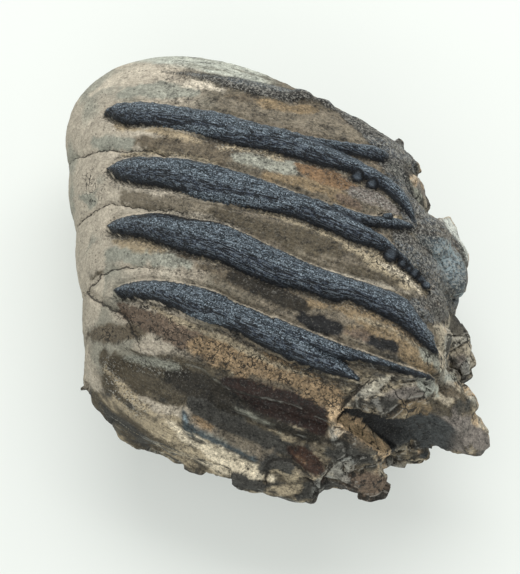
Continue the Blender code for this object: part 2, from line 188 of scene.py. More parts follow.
# %% Wedges of broken root, and lumps of enamel
# Base and tip centres, then the width across and the thickness at each.
SPLINTERS = [
    # base               tip                 base size   tip size
    ((43.0, -39.0, 43.0), (64.3, -52.0, 38.0), (24.0, 34.0), (17.0, 18.0)),
    ((53.0, -48.6, 38.0), (70.4, -59.7, 31.0), (23.0, 25.0), (8.5, 8.0)),
    ((50.0, -4.0, 42.0), (65.2, -36.5, 37.0), (12.0, 32.0), (8.5, 12.0)),
    ((53.0, 17.0, 42.0), (61.5, -2.0, 38.0), (14.0, 34.0), (13.0, 20.0)),
    ((56.0, 2.0, 38.0), (59.0, -18.0, 41.0), (12.0, 24.0), (8.0, 17.0)),
    ((38.0, 41.0, 52.0), (48.0, 33.5, 50.0), (14.0, 16.0), (8.0, 9.0)),
    ((14.0, -55.0, 44.0), (34.0, -65.5, 40.0), (16.0, 22.0), (11.0, 15.0)),
    ((4.0, -64.0, 38.0), (36.5, -73.0, 36.0), (15.0, 22.0), (10.0, 15.0)),
    ((-14.0, -66.0, 36.0), (13.0, -77.0, 35.0), (14.0, 18.0), (6.0, 8.0)),
    ((38.0, -52.0, 24.0), (52.0, -61.5, 27.0), (16.0, 16.0), (6.0, 7.0)),
]
SPLINTER_ROUNDNESS = 3.6
SPLINTER_RAGGEDNESS = 0.28
SPLINTER_LUMP = 9.0
SPLINTER_STEPS = 8
SPLINTER_POINTS = 20
SPLINTER_TIP = 0.72
# Centre, radii, turn about Z in degrees.
KNOBS = [
    ((57.0, -3.0, 55.0), (6.4, 11.0, 8.0), 24.0),
    ((50.0, 5.0, 60.0), (8.0, 10.0, 8.0), 24.0),
    ((8.5, 56.5, 66.5), (4.6, 2.4, 2.6), -18.0),
    ((15.5, 55.5, 62.5), (4.0, 3.0, 3.4), -24.0),
    ((20.5, 51.5, 61.5), (3.0, 4.0, 3.0), 35.0),
]


def add_splinter(shape, base, tip, base_size, tip_size):
    """A tapering, uneven wedge of dentine from base to tip."""
    base, tip = Vector(base), Vector(tip)
    lengthwise = (tip - base).normalized()
    sideways = lengthwise.cross(Vector((0, 0, 1))).normalized()
    upwards = sideways.cross(lengthwise)
    outlines = []
    for step in range(SPLINTER_STEPS + 1):
        share = step / SPLINTER_STEPS
        size = [(a + (b - a) * share) / 2 for a, b in zip(base_size, tip_size)]
        if step == SPLINTER_STEPS:
            size = [value * SPLINTER_TIP for value in size]
        centre = base.lerp(tip, share)
        outline = []
        for i in range(SPLINTER_POINTS):
            angle = 2 * math.pi * i / SPLINTER_POINTS
            c, s = math.cos(angle), math.sin(angle)
            power = 2 / SPLINTER_ROUNDNESS
            offset = sideways * math.copysign(abs(c) ** power, c) * size[0]
            offset += upwards * math.copysign(abs(s) ** power, s) * size[1]
            point = centre + offset
            point += offset * SPLINTER_RAGGEDNESS * noise.noise(point / SPLINTER_LUMP)
            outline.append(point * MM)
        outlines.append(outline)
    loft(shape, outlines)


def add_knob(shape, centre, radii, turn):
    """A rounded lump."""
    place = Matrix.Translation(Vector(centre) * MM) @ Matrix.Rotation(math.radians(turn), 4, "Z")
    stretch = Matrix.Diagonal(Vector(radii) * MM).to_4x4()
    bmesh.ops.create_icosphere(shape, subdivisions=3, radius=1, matrix=place @ stretch)


for splinter in SPLINTERS:
    add_splinter(tooth_shape, *splinter)
for knob in KNOBS:
    add_knob(tooth_shape, *knob)
print("wedges:", len(SPLINTERS), "lumps:", len(KNOBS))

# %% [markdown]
# At the front of the root end the pulp cavity lies open: a smooth tunnel where the nerve
# ran. It is cut with a Boolean, after a voxel remesh has fused the wedges and the block
# into one skin. A second, finer remesh then spreads the points evenly, so that the relief
# of the next steps finds a point about every two thirds of a millimetre.

# %% Cut the pulp cavity and even out the skin
CAVITY = [
    # x, y, z and radius along the middle of the tunnel
    (20.0, -55.5, 63.0, 2.5),
    (25.0, -56.0, 59.5, 5.2),
    (33.0, -57.5, 55.0, 7.4),
    (43.0, -60.0, 48.5, 9.0),
    (53.0, -64.5, 40.5, 9.8),
    (60.0, -72.0, 32.0, 10.0),
]
CAVITY_ROWS_PER_SPAN = 4
CAVITY_POINTS = 24
FUSING_VOXEL = 1.0
FINE_VOXEL = 0.66


def as_object(name, shape):
    """An object of the scene, made from a shape that is built in memory."""
    mesh = bpy.data.meshes.new(name)
    shape.to_mesh(mesh)
    shape.free()
    made = bpy.data.objects.new(name, mesh)
    bpy.context.scene.collection.objects.link(made)
    return made


def cavity_cutter():
    """The space of the pulp cavity, as a round tunnel that widens towards the root."""
    shape = bmesh.new()
    rows = through(CAVITY, CAVITY_ROWS_PER_SPAN)
    outlines = []
    for i, (x, y, z, radius) in enumerate(rows):
        run = rows[min(i + 1, len(rows) - 1)] - rows[max(i - 1, 0)]
        lengthwise = Vector(run[:3]).normalized()
        sideways = lengthwise.cross(Vector((0, 0, 1))).normalized()
        upwards = sideways.cross(lengthwise)
        outline = []
        for k in range(CAVITY_POINTS):
            angle = 2 * math.pi * k / CAVITY_POINTS
            offset = (sideways * math.cos(angle) + upwards * math.sin(angle)) * radius
            outline.append((Vector((x, y, z)) + offset) * MM)
        outlines.append(outline)
    loft(shape, outlines)
    return as_object("pulp_cavity", shape)


def add_remesh(block, name, voxel):
    """Gives the block a skin of even squares, a voxel wide."""
    remesh = block.modifiers.new(name, "REMESH")
    remesh.mode = "VOXEL"
    remesh.voxel_size = voxel * MM


def evaluated_copy(source, name):
    """A new object that holds the source's mesh as its modifiers leave it."""
    graph = bpy.context.evaluated_depsgraph_get()
    mesh = bpy.data.meshes.new_from_object(source.evaluated_get(graph), depsgraph=graph)
    mesh.name = name
    copy = bpy.data.objects.new(name, mesh)
    bpy.context.scene.collection.objects.link(copy)
    return copy


block = as_object("block", tooth_shape)
cutter = cavity_cutter()
add_remesh(block, "fuse", FUSING_VOXEL)
hollow = block.modifiers.new("hollow", "BOOLEAN")
hollow.operation = "DIFFERENCE"
hollow.solver = "EXACT"
hollow.object = cutter
add_remesh(block, "even", FINE_VOXEL)
tooth = evaluated_copy(block, "carved_skin")
for helper in (block, cutter):
    bpy.data.objects.remove(helper, do_unlink=True)
print("even skin:", len(tooth.data.vertices), "points")

# %% [markdown]
# Enamel is harder than cementum, so it stands proud where the tooth is worn, as five long
# blue-black ridges. Each is drawn in plan as a band: x, then its edge nearer the far end
# and its edge nearer the split end. A band is a shape and a colour at once, so the same
# rows raise the relief here and paint the enamel later.

# %% Where the enamel lies
ENAMEL = [
    [
        (-41, 68.5, 68), (-32, 67, 65), (-18, 65, 59.5), (-5, 63.5, 56), (4, 62, 54.5),
        (12, 60, 54.5), (14, 58.4, 55.8), (16, 58.2, 53.6), (18.5, 57.4, 52.6), (21, 55.2, 52.6),
        (23, 54, 50.4), (25.5, 52, 49.6), (26.5, 51, 50.2),
    ],
    [
        (-61, 53, 52.4), (-57, 55.2, 49), (-52, 55.4, 46), (-44, 53.5, 44), (-34, 51, 41.2),
        (-26, 49.3, 38.5), (-16, 46.5, 34.8), (-6, 43.5, 33), (4, 41, 30.4), (14, 37, 27.2),
        (24, 32, 25.4), (30, 28.5, 22.3), (36, 25, 18.2), (42, 20, 12), (45, 14, 8), (46, 9, 7),
    ],
    [(8, 39.5, 37), (14, 38.5, 34.5), (24, 37.6, 32.6), (32, 37.4, 31.4), (36, 36.2, 31.4), (38, 34, 33)],
    [
        (-59, 31, 30.2), (-55, 32.6, 26), (-51, 33.1, 23.8), (-46, 32.5, 21.7), (-39, 31, 19.8),
        (-32, 29.8, 16.8), (-25, 27.7, 13.7), (-13, 23.8, 11), (-1, 19.2, 8.6), (6, 16.2, 6.8),
        (12, 14.2, 4), (17, 12, 2), (24, 8, -1.4), (30, 4, -3), (35, 1, -4.6), (39, -3, -6.6),
        (43, -7, -9.4), (46, -10.5, -12.6), (49, -15, -16.6), (50, -17, -17.4),
    ],
    [(18, 12.6, 9), (24, 10.4, 6.2), (31, 8.4, 4.4), (36, 9.4, 4.4), (41, 8, 4.6), (45, 6.4, 5.4)],
    [
        (-58, 10, 9.2), (-55.5, 11.3, 6.3), (-51, 11.8, 4.6), (-46, 11.6, 3), (-39, 10.4, -0.5),
        (-30, 7.5, -4.6), (-20, 5.2, -8), (-13, 2.2, -11.6), (-3, -3, -16.2), (7, -8, -18.4),
        (14, -11, -21), (19, -12.7, -22.3), (22, -13.8, -21.6), (29, -16, -25), (36, -18, -28.2),
        (41, -20.5, -31.2), (44, -24, -33.4), (47, -28, -35.6), (50, -31.5, -37.4), (51.5, -36, -37),
    ],
    [
        (-55, -13, -13.9), (-52.5, -11.9, -16), (-47, -11.8, -17.6), (-40, -12.6, -19.8),
        (-34, -14, -22.6), (-27, -16, -26.7), (-20, -18.5, -29.2), (-14, -22, -31.6),
        (-8, -24.5, -34.8), (-1, -28, -38.2), (7, -32, -41.9), (13, -35.8, -44.2),
        (18, -39, -45.4), (22, -42.4, -46.4), (26, -46, -47.2),
    ],
    [
        (-2, -26.8, -31), (7, -30.6, -36), (13, -33, -38.8), (20, -36, -41), (27, -38.2, -41.6),
        (35, -41, -43.4), (42, -42.7, -45), (48, -43.8, -45.6), (51, -44.4, -45),
    ],
]
# Where the plates run together at the root end, the enamel is one rough patch. A second
# one lies along the far rim.
ENAMEL_PATCHES = [
    [
        (36, 31), (41, 30), (44, 22), (47, 17), (50, 13), (55, 11), (60, 8), (63, 3), (66, -3), (66, -9),
        (62, -13), (58, -16), (55, -21), (51, -25), (45, -26), (42, -22), (49, -20), (51, -16), (48, -10),
        (44, -6), (39.5, -1.2), (39, 2), (44, 4), (43, 7), (42, 13), (40, 22),
    ],
    [
        (22.5, 53.5), (31, 52.5), (38, 47.5), (47.5, 39), (47, 34), (41, 32), (36, 34), (35, 38),
        (32.5, 40.2), (29.2, 44.5), (25, 49),
    ],
]
# Beads of enamel along the plates' edges: x, y and radius.
BEADS = [
    (26.4, 23.4, 3.0), (31.2, 20.8, 2.8), (36.0, 8.8, 2.4), (36.4, -5.6, 3.3), (40.2, -8.2, 2.3),
    (42.3, -9.5, 1.9), (44.3, -11.0, 2.4), (46.3, -12.7, 1.8), (48.2, -14.4, 2.5),
]
# A bead takes this share of its radius, and the hollow round it takes the rest.
BEAD_TRIM = 0.72
WHOLE_PLATES = (0, 1, 3, 5, 6)
# The last strip of enamel, in the hollow that the sixth plate left.
LAST_ENAMEL = [(-31, -52), (-30, -56), (-26, -58.5), (-18, -62.5), (-9, -66), (-4, -68)]


def smoothstep(low, high, value):
    """0 at low, 1 at high, smooth between. low may be the larger."""
    share = np.clip((value - low) / (high - low), 0, 1)
    return share * share * (3 - 2 * share)


def distance_to_line(plan, line):
    """How far each plan point is from a polyline."""
    line = np.asarray(line, float)
    nearest = np.full(len(plan), np.inf)
    for a, b in zip(line, line[1:]):
        run = b - a
        share = np.clip((plan - a) @ run / (run @ run), 0, 1)
        nearest = np.minimum(nearest, np.hypot(*(plan - a - share[:, None] * run).T))
    return nearest


def depth_inside(plan, outline):
    """How far each plan point is inside a closed outline. Points outside count as negative."""
    outline = np.asarray(outline, float)
    closed = np.vstack([outline, outline[:1]])
    inside = np.zeros(len(plan), bool)
    for (ax, ay), (bx, by) in zip(closed, closed[1:]):
        if ay == by:
            continue
        spans = (ay > plan[:, 1]) != (by > plan[:, 1])
        inside ^= spans & (plan[:, 0] < ax + (plan[:, 1] - ay) * (bx - ax) / (by - ay))
    return np.where(inside, 1, -1) * distance_to_line(plan, closed)


def band_outline(rows):
    """The closed outline of an enamel band, from its two edges."""
    rows = through(rows, 3)
    return np.vstack([rows[:, [0, 1]], rows[::-1][:, [0, 2]]])


def signed_distance(plan, line):
    """Distance to a polyline, positive on its left and negative on its right."""
    line = np.asarray(line, float)
    nearest = np.full(len(plan), np.inf)
    signed = np.zeros(len(plan))
    for a, b in zip(line, line[1:]):
        run, offset = b - a, plan - a
        share = np.clip(offset @ run / (run @ run), 0, 1)
        away = np.hypot(*(offset - share[:, None] * run).T)
        side = np.sign(run[0] * offset[:, 1] - run[1] * offset[:, 0])
        signed = np.where(away < nearest, side * away, signed)
        nearest = np.minimum(nearest, away)
    return signed


def enamel_depths(plan):
    """How deep each plan point is inside the worn bands, the far band, the patch and the beads."""
    bands = np.full(len(plan), -99.0)
    for rows in ENAMEL[1:]:
        bands = np.maximum(bands, depth_inside(plan, band_outline(rows)))
    far_band = depth_inside(plan, band_outline(ENAMEL[0]))
    patch = np.maximum.reduce([depth_inside(plan, outline) for outline in ENAMEL_PATCHES])
    beads = np.full(len(plan), -99.0)
    for x, y, radius in BEADS:
        beads = np.maximum(beads, radius * BEAD_TRIM - np.hypot(plan[:, 0] - x, plan[:, 1] - y))
    return bands, far_band, patch, beads


def nearest_line_side(plan):
    """1 on the far edge of the nearest band, -1 on its near edge."""
    side = np.zeros(len(plan))
    nearest = np.full(len(plan), 99.0)
    for rows in ENAMEL:
        rows = through(rows, 3)
        middle = np.interp(plan[:, 0], rows[:, 0], (rows[:, 1] + rows[:, 2]) / 2)
        away = plan[:, 1] - middle
        closer = np.abs(away) < nearest
        nearest = np.where(closer, np.abs(away), nearest)
        side = np.where(closer, np.clip(away / 1.5, -1, 1), side)
    return side


print("enamel bands:", len(ENAMEL), "beads:", len(BEADS))

# %% [markdown]
# Fibres, wrinkles and scratches follow the plates, which bend. A pair of coordinates that
# bends with them makes this easy: how far along a plate a point is, and how far across the
# plates. The second is read between the plates' middle lines, a plate spacing apart.

# %% Coordinates that follow the plates
PLATE_SPACING = 21.0
SIXTH_PLATE = [(-64, -36), (-50, -42), (-31, -53), (-18, -61), (-4, -67), (17, -76), (40, -84)]


def plate_lines():
    """The middle line of each whole plate, and of the plate that split away."""
    lines = [np.array([(x, (far + near) / 2) for x, far, near in ENAMEL[k]]) for k in WHOLE_PLATES]
    return lines + [np.array(SIXTH_PLATE, float)]


def across_plates(plan):
    """How far each plan point is across the plates, from the far one towards the split one."""
    lines = plate_lines()
    levels = []
    for line in lines:
        start, end = line[0], line[-1]
        start_slope = (line[1, 1] - start[1]) / (line[1, 0] - start[0]) * 0.3
        end_slope = (end[1] - line[-4, 1]) / (end[0] - line[-4, 0])
        level = np.interp(plan[:, 0], line[:, 0], line[:, 1])
        level = np.where(plan[:, 0] < start[0], start[1] + start_slope * (plan[:, 0] - start[0]), level)
        level = np.where(plan[:, 0] > end[0], end[1] + end_slope * (plan[:, 0] - end[0]), level)
        levels.append(level)
    levels = np.array(levels)
    gaps = np.maximum(levels[:-1] - levels[1:], 6.0)
    steps = (levels[:-1] - plan[:, 1]) / gaps
    steps[1:] = np.maximum(steps[1:], 0)
    steps[:-1] = np.minimum(steps[:-1], 1)
    return PLATE_SPACING * steps.sum(axis=0)


def along_the_grain(points):
    """Points in millimetres along the plates, across the plates, and up."""
    return np.column_stack([points[:, 0], across_plates(points[:, :2]), points[:, 2]])


probe = np.array([(-20.0, 40.0), (-20.0, 20.0), (-20.0, 0.0), (-20.0, -24.0)])
print("across at four plates, mm:", np.round(across_plates(probe), 1))

# %% [markdown]
# Natural surfaces are uneven at many sizes. Three kinds of noise cover this tooth: soft
# lumps, streaks stretched along the grain, and flat faces, which are cells with a tilt each
# and a crack between. Each gives a height for every point, in units that are scaled later.

# %% Noise for the relief
# Without a seed, noise_vector gives other values in each run.
NOISE_SEED = 4
noise.seed_set(NOISE_SEED)


def unevenness(points, size, seed):
    """Smooth noise from about -1 to 1, whose lumps are about the size given."""
    shift = Vector((seed * 17.3, seed * 5.1, seed * 9.7))
    return np.array([noise.noise(Vector(point) / size + shift) for point in points])


def streaks(grain, length, width, seed):
    """Smooth noise that is long along the plates and narrow across them."""
    return unevenness(grain / np.array([length, width, width]), 1.0, seed)


def crumbled(points, seed, sizes=(6.0, 3.0, 1.5, 0.8)):
    """Noise of finer and finer lumps, for edges that are ragged at every size."""
    total = np.zeros(len(points))
    for octave, size in enumerate(sizes):
        total += 0.7**octave * unevenness(points, size, seed + octave)
    return total


def facets(points, sizes, seed, where):
    """Flat faces of broken dentine: each cell is a plane with its own tilt.

    Gives a height and a tone for each point, both about -1 to 1, and its distance from the
    next face, in cell sizes.
    """
    heights, tones, gaps = np.zeros(len(points)), np.zeros(len(points)), np.ones(len(points))
    scaled = points / np.array(sizes) + seed * 3.7
    for i in np.flatnonzero(where > 0.01):
        place = Vector(scaled[i])
        wobble = noise.noise_vector(place * 1.3) * 0.3
        (first, second, *_), (centre, *_) = noise.voronoi(place + wobble)
        tilt = Vector([noise.cell(centre * spread) for spread in (7.0, 11.0, 13.0)])
        heights[i] = tilt.dot(place - centre) + 0.35 * noise.cell(centre * 17.0)
        tones[i] = noise.cell(centre * 19.0)
        gaps[i] = second - first
    return heights * where, tones * where, gaps


test_points = np.random.default_rng(4).uniform(-20, 20, (500, 3))
test_heights, _, _ = facets(test_points, (4, 4, 4), 1, np.ones(500))
print("facet heights:", test_heights.min().round(2), "to", test_heights.max().round(2))

# %% [markdown]
# Carving and painting both need to know what each point of the skin belongs to: enamel,
# broken dentine, the wall of the pulp cavity, a crease or a crack. So the skin is surveyed
# twice, plain before it is carved, and carved before it is painted. Masks run from 0 to 1,
# and their soft edges let one part fade into the next.

# %% What each point belongs to
# Creases between the lobes of cementum round each plate, from the crown end inwards.
CREASES = [
    [(-78, 44), (-71, 41), (-65, 39), (-61, 39), (-54, 36.5), (-46, 35), (-38, 32)],
    [(-76, 19), (-70, 17), (-65, 17), (-62, 18), (-58, 18), (-52, 16), (-43, 13), (-32, 10)],
    [(-73, -8), (-66, -9), (-64, -8), (-61, -7), (-58, -5.5), (-51, -6), (-42, -8)],
]
CRACKS = [
    [(28, -46.5), (25, -49), (21, -53), (19, -57)],
    [(-65, -10), (-59, -16), (-53, -20), (-50, -24), (-47, -30)],
    [(-4, -73), (-3.5, -68), (1, -67), (6, -69), (11, -73)],
]
# The broken dentine that shows from above: the roots, and a strip along the far edge.
ROOT = [
    [
        (28, -46.5), (36, -44.5), (51, -45.5), (54, -40), (54, -30), (56, -22), (60, -16), (66, -12),
        (74, -20), (80, -60), (60, -84), (8, -84), (12, -73), (18, -66), (16, -60), (19, -57),
        (21, -53), (25, -49),
    ],
    [
        (36, 38), (44, 40), (52, 36), (60, 22), (68, 8), (68, -5), (60, 8), (55, 11), (50, 13),
        (47, 17), (44, 22), (41, 30), (36, 31),
    ],
]
# Two breaks are smooth, the prong that stands out furthest and a flake over the lump: the
# middle line in plan and the half width of each.
SMOOTH_BREAKS = [([(56, -50), (70, -60)], 9.0), ([(56, 16), (62, 11), (64, 4)], 6.0)]
# Flat faces of broken dentine are of two sizes.
WIDE_SIZES = (17.0, 11.0, 11.0)
SMALL_SIZES = (8.0, 4.5, 4.5)
CAVITY_SKIN = 2.5
# How far up a point has to face to count as on the top: carved shapes fade out early, and
# colours run further down the sides.
TOP_TO_CARVE = (0.15, 0.5)
TOP_TO_PAINT = (0.0, 0.35)
cavity_rows = through(CAVITY, CAVITY_ROWS_PER_SPAN)


def mesh_points(mesh):
    """The points of a mesh in millimetres, and their normals."""
    points = np.empty(len(mesh.vertices) * 3)
    normals = np.empty(len(mesh.vertices) * 3)
    mesh.vertices.foreach_get("co", points)
    mesh.vertex_normals.foreach_get("vector", normals)
    return points.reshape(-1, 3) / MM, normals.reshape(-1, 3)


def in_cavity(points, normals):
    """1 on the wall of the pulp cavity, which faces its middle line, and 0 elsewhere."""
    nearest = np.full(len(points), 99.0)
    inwards = np.zeros(len(points))
    for x, y, z, radius in cavity_rows:
        offset = np.array((x, y, z)) - points
        away = np.linalg.norm(offset, axis=1)
        facing = (offset * normals).sum(axis=1) / away
        inwards = np.where(away - radius < nearest, facing, inwards)
        nearest = np.minimum(nearest, away - radius)
    return smoothstep(CAVITY_SKIN, 0.4 * CAVITY_SKIN, nearest) * smoothstep(-0.1, 0.35, inwards)


def in_outlines(plan, outlines):
    """1 inside any of some closed outlines, and 0 outside them all."""
    return np.maximum.reduce([smoothstep(-1, 1, depth_inside(plan, outline)) for outline in outlines])


def on_smooth_break(plan):
    """1 on the breaks that are smooth, and 0 elsewhere."""
    return np.maximum.reduce(
        [smoothstep(reach, 0.6 * reach, distance_to_line(plan, line)) for line, reach in SMOOTH_BREAKS]
    )


def wandering(plan, lines, wander):
    """Signed distance to the nearest of some lines that wander to and fro."""
    signed = np.array([signed_distance(plan, through(line, 3)) for line in lines])
    nearest = np.abs(signed).argmin(axis=0)
    return signed[nearest, np.arange(len(plan))] + wander


class Survey:
    """What each point of a skin belongs to."""

    def __init__(self, points, normals, top, crumbling):
        self.points, self.normals, self.plan = points, normals, points[:, :2]
        self.grain = along_the_grain(points)
        self.upper = smoothstep(*top, normals[:, 2])
        self.lower = smoothstep(0.3, 0.7, -normals[:, 2])
        self.crown = smoothstep(-35, -50, points[:, 0])
        self.broken = np.clip(smoothstep(20, 45, points[:, 0]) + smoothstep(-25, -45, points[:, 1]), 0, 1)
        # An edge of enamel that crumbles wanders in and out by a few tenths of a millimetre.
        self.crumble = 0.0
        if crumbling:
            self.crumble = 0.55 * unevenness(points, 3.2, 11) + 0.45 * unevenness(points, 1.5, 12)
        self.bands, self.far_band, self.patch, self.beads = enamel_depths(self.plan)
        inside = np.maximum.reduce([self.bands, self.far_band, self.patch, self.beads]) + self.crumble
        self.on_enamel = np.clip(inside, 0, 1) * (self.upper + self.lower)
        self.cavity = in_cavity(points, normals)
        self.root = in_outlines(self.plan, ROOT)
        break_share = np.maximum(self.root, self.broken * (1 - self.upper))
        self.rough_break = np.clip(break_share * (1 - self.on_enamel) * (1 - self.cavity), 0, 1)
        self.smooth_break = on_smooth_break(self.plan)
        self.wide_faces = facets(points, WIDE_SIZES, 2, self.rough_break)
        self.small_faces = facets(points, SMALL_SIZES, 3, self.rough_break)
        wander = 0.8 * unevenness(points, 4.0, 13) + 0.5 * unevenness(points, 1.6, 14)
        self.crease = wandering(self.plan, CREASES, wander)
        self.crack = wandering(self.plan, CRACKS, wander)


skin = Survey(*mesh_points(tooth.data), TOP_TO_CARVE, crumbling=True)
print("share of the skin that is enamel:", skin.on_enamel.mean().round(2))

# %% [markdown]
# Now the skin is carved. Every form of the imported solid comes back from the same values:
# ridges, beads, creases, the hollow of the sixth plate, columns on the plate faces and
# layers at the root. Onto them goes what a step closer shows: crumbling edges and
# wrinkles of the enamel, pits and fibres of the cementum, and flat faces of the broken
# dentine. A displacement modifier with a texture could do some of this, but a height worked
# out in code can know which part of the tooth it is on.

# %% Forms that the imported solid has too
ENAMEL_HEIGHT = 2.6
FAR_ENAMEL_HEIGHT = 0.9
ENAMEL_PATCH_HEIGHT = 1.0
ENAMEL_SHOULDER = 3.6
BEAD_HEIGHT = 1.3
BEAD_MOAT = 0.7
CREASE_DEPTH = 1.0
CREASE_WIDTH = 0.9
VALLEY_DEPTH = 0.8
VALLEY_WIDTH = 8.0
# The hollow left by the plate that split away, and the ridges that stand in it.
TROUGH = [
    (-53, -30), (-47, -33), (-39, -37), (-31, -38), (-25, -39.5), (-21, -43), (-14, -47), (-6, -49),
    (2, -51), (9, -53), (15, -56), (18, -58), (17, -63), (8, -67), (-4, -67.5), (-18, -63),
    (-28, -57.5), (-32, -54), (-38, -54), (-43, -52), (-50, -48), (-56, -44), (-59, -37),
]
TROUGH_DEPTH = 3.0
TROUGH_EDGE = 3.0
SPLIT_RIDGE = [(-21, -50), (-14, -52), (-4, -56), (7, -60), (17, -63)]
SPLIT_RIDGE_HEIGHT = 1.6
SPLIT_RIDGE_WIDTH = 2.6
LAST_ENAMEL_HEIGHT = 1.6
LAST_ENAMEL_FOOT = 2.4
COLUMN_START = 3.0
COLUMN_SPACING = 13.0
COLUMN_HEIGHT = 2.0
ROOT_LAYER_SPACING = 10.5
ROOT_LAYER_SLANT = 0.45
ROOT_LAYER_HEIGHT = 2.2
CRACK_DEPTH = 1.6
CRACK_WIDTH = 1.3
SWELLING = 0.35
BROKEN_SWELLING = 0.8


def rounded(depth, shoulder):
    """A height from 0 to 1 with a round edge, from how far inside its outline a point is."""
    share = np.clip(depth / shoulder, 0, 1)
    return (1 - (1 - share) ** 2) ** 0.8


def groove(distance, depth, width):
    """A V-shaped furrow, as a height below zero."""
    return -depth * np.clip(1 - np.abs(distance) / width, 0, 1)


def crest(plan, line, height, width):
    """A rounded ridge along a polyline."""
    away = distance_to_line(plan, through(line, 3))
    return height * np.clip(1 - (away / width) ** 2, 0, 1)


def enamel_relief(skin):
    """The height of the enamel above the cementum."""
    height = ENAMEL_HEIGHT * rounded(skin.bands + skin.crumble, ENAMEL_SHOULDER)
    for depth, top in ((skin.far_band, FAR_ENAMEL_HEIGHT), (skin.patch, ENAMEL_PATCH_HEIGHT)):
        height = np.maximum(height, top * rounded(depth + skin.crumble, ENAMEL_SHOULDER))
    for x, y, radius in BEADS:
        away = np.hypot(*(skin.plan - (x, y)).T) / (radius * BEAD_TRIM)
        height += BEAD_HEIGHT * np.sqrt(np.clip(1 - away**2, 0, 1))
        height -= BEAD_MOAT * np.clip(1 - np.abs(away - 1.25) / 0.35, 0, 1)
    return height


def split_face_relief(plan):
    """The trough, ridge and last strip of enamel where the next plate split away."""
    height = -TROUGH_DEPTH * smoothstep(0, TROUGH_EDGE, depth_inside(plan, TROUGH))
    height += crest(plan, SPLIT_RIDGE, SPLIT_RIDGE_HEIGHT, SPLIT_RIDGE_WIDTH)
    height += crest(plan, LAST_ENAMEL, LAST_ENAMEL_HEIGHT, LAST_ENAMEL_FOOT)
    return height


def plate_face_relief(points, normals):
    """The finger-like columns of a plate's face, along X, at the far end and the split end."""
    column = np.abs(np.sin(math.pi * (points[:, 2] - COLUMN_START) / COLUMN_SPACING))
    weight = smoothstep(0.35, 0.75, np.abs(normals[:, 1])) * smoothstep(0.35, 0.1, normals[:, 2])
    return weight * COLUMN_HEIGHT * (np.sqrt(column) - 0.8)


def root_face_relief(points, normals):
    """The broken ends of the plates at the root: upright layers, with ragged dentine between."""
    along = points[:, 1] + ROOT_LAYER_SLANT * points[:, 0]
    layer = np.abs(np.sin(math.pi * along / ROOT_LAYER_SPACING))
    weight = smoothstep(0.35, 0.75, normals[:, 0]) * smoothstep(25, 40, points[:, 0])
    weight *= smoothstep(60, 54, points[:, 0])
    return weight * ROOT_LAYER_HEIGHT * (np.sqrt(layer) - 0.8)


points, normals, upper = skin.points, skin.normals, skin.upper
height = (upper + skin.lower) * enamel_relief(skin)
height += upper * split_face_relief(skin.plan)
height += (skin.crown + (1 - skin.crown) * upper) * groove(skin.crease, CREASE_DEPTH, CREASE_WIDTH)
height += upper * groove(skin.crack, CRACK_DEPTH, CRACK_WIDTH)
height -= skin.crown * VALLEY_DEPTH * smoothstep(VALLEY_WIDTH, 0, np.abs(skin.crease))
height += plate_face_relief(points, normals)
height += root_face_relief(points, normals)
height += SWELLING * unevenness(points, 9.0, 1)
height += skin.broken * (1 - upper) * BROKEN_SWELLING * unevenness(points, 5.0, 2)
print("main forms, mm:", height.min().round(2), "to", height.max().round(2))

# %% Fine forms of each part of the surface
WRINKLE = 0.42
GRAIN = 0.12
FIBRE = 0.10
LUMP = 0.20
ROUGH_LUMP = 0.32
WIDE_FACET = 2.3
SMALL_FACET = 0.4
FACET_CRACK = 0.55
FACET_CRACK_WIDTH = 0.08
SPLIT_STREAK = 0.45
UNDERCUT = 0.8

enamel, cementum = skin.on_enamel, 1 - skin.on_enamel
# Wrinkles 2 mm apart run along the lower half of each enamel ridge, with a finer grain all over.
near_half = smoothstep(3.4, 1.0, skin.bands) * smoothstep(0.3, -0.3, nearest_line_side(skin.plan))
folds = -np.abs(streaks(skin.grain, 12.0, 2.0, 21))
height += enamel * WRINKLE * (0.35 + 1.3 * near_half) * folds
height += enamel * GRAIN * unevenness(points, 1.3, 22)
# Cementum has soft lumps and fine fibres along the plates, and is rougher towards the root.
rougher = smoothstep(-50, -20, points[:, 0]) * cementum
height += cementum * (LUMP * unevenness(points, 4.0, 23) + FIBRE * streaks(skin.grain, 9.0, 1.3, 24))
height += rougher * (1 - 0.9 * skin.rough_break) * ROUGH_LUMP * crumbled(points, 26, (2.6, 1.4))
# Under the front edge of each band the cementum is undercut.
height -= UNDERCUT * (np.clip(1 - np.abs(skin.bands + 0.8) / 0.9, 0, 1) * upper)
# The hollow of the sixth plate has long streaks.
split_face = smoothstep(0, 3, depth_inside(skin.plan, TROUGH)) * upper
height += split_face * SPLIT_STREAK * streaks(skin.grain, 24.0, 2.6, 25)
# Broken dentine has flat faces, 11 to 17 mm across and 4 to 8 mm across.
calmer = (1 - 0.7 * skin.smooth_break) * smoothstep(1, 9, points[:, 2])
height += calmer * (WIDE_FACET * skin.wide_faces[0] + SMALL_FACET * skin.small_faces[0])
cracked = np.clip(1 - skin.wide_faces[2] / FACET_CRACK_WIDTH, 0, 1)
height -= FACET_CRACK * skin.rough_break * (1 - skin.smooth_break) * cracked
print("all forms, mm:", height.min().round(2), "to", height.max().round(2))

# %% [markdown]
# The carved skin has more points than it needs where it is plain, so a Decimate modifier
# thins it to just under 200,000 triangles, and keeps them where the relief turns. The
# underside is worn flat where it rests. Last, the tooth moves so that the middle of its
# packed box is over the origin, and nothing sticks out of that box.

# %% Apply the relief and thin the skin
TRIANGLES = 196000
# From the tooth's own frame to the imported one, in millimetres.
TO_PACKED = np.array([2.4730, -1.9419, 0.0])

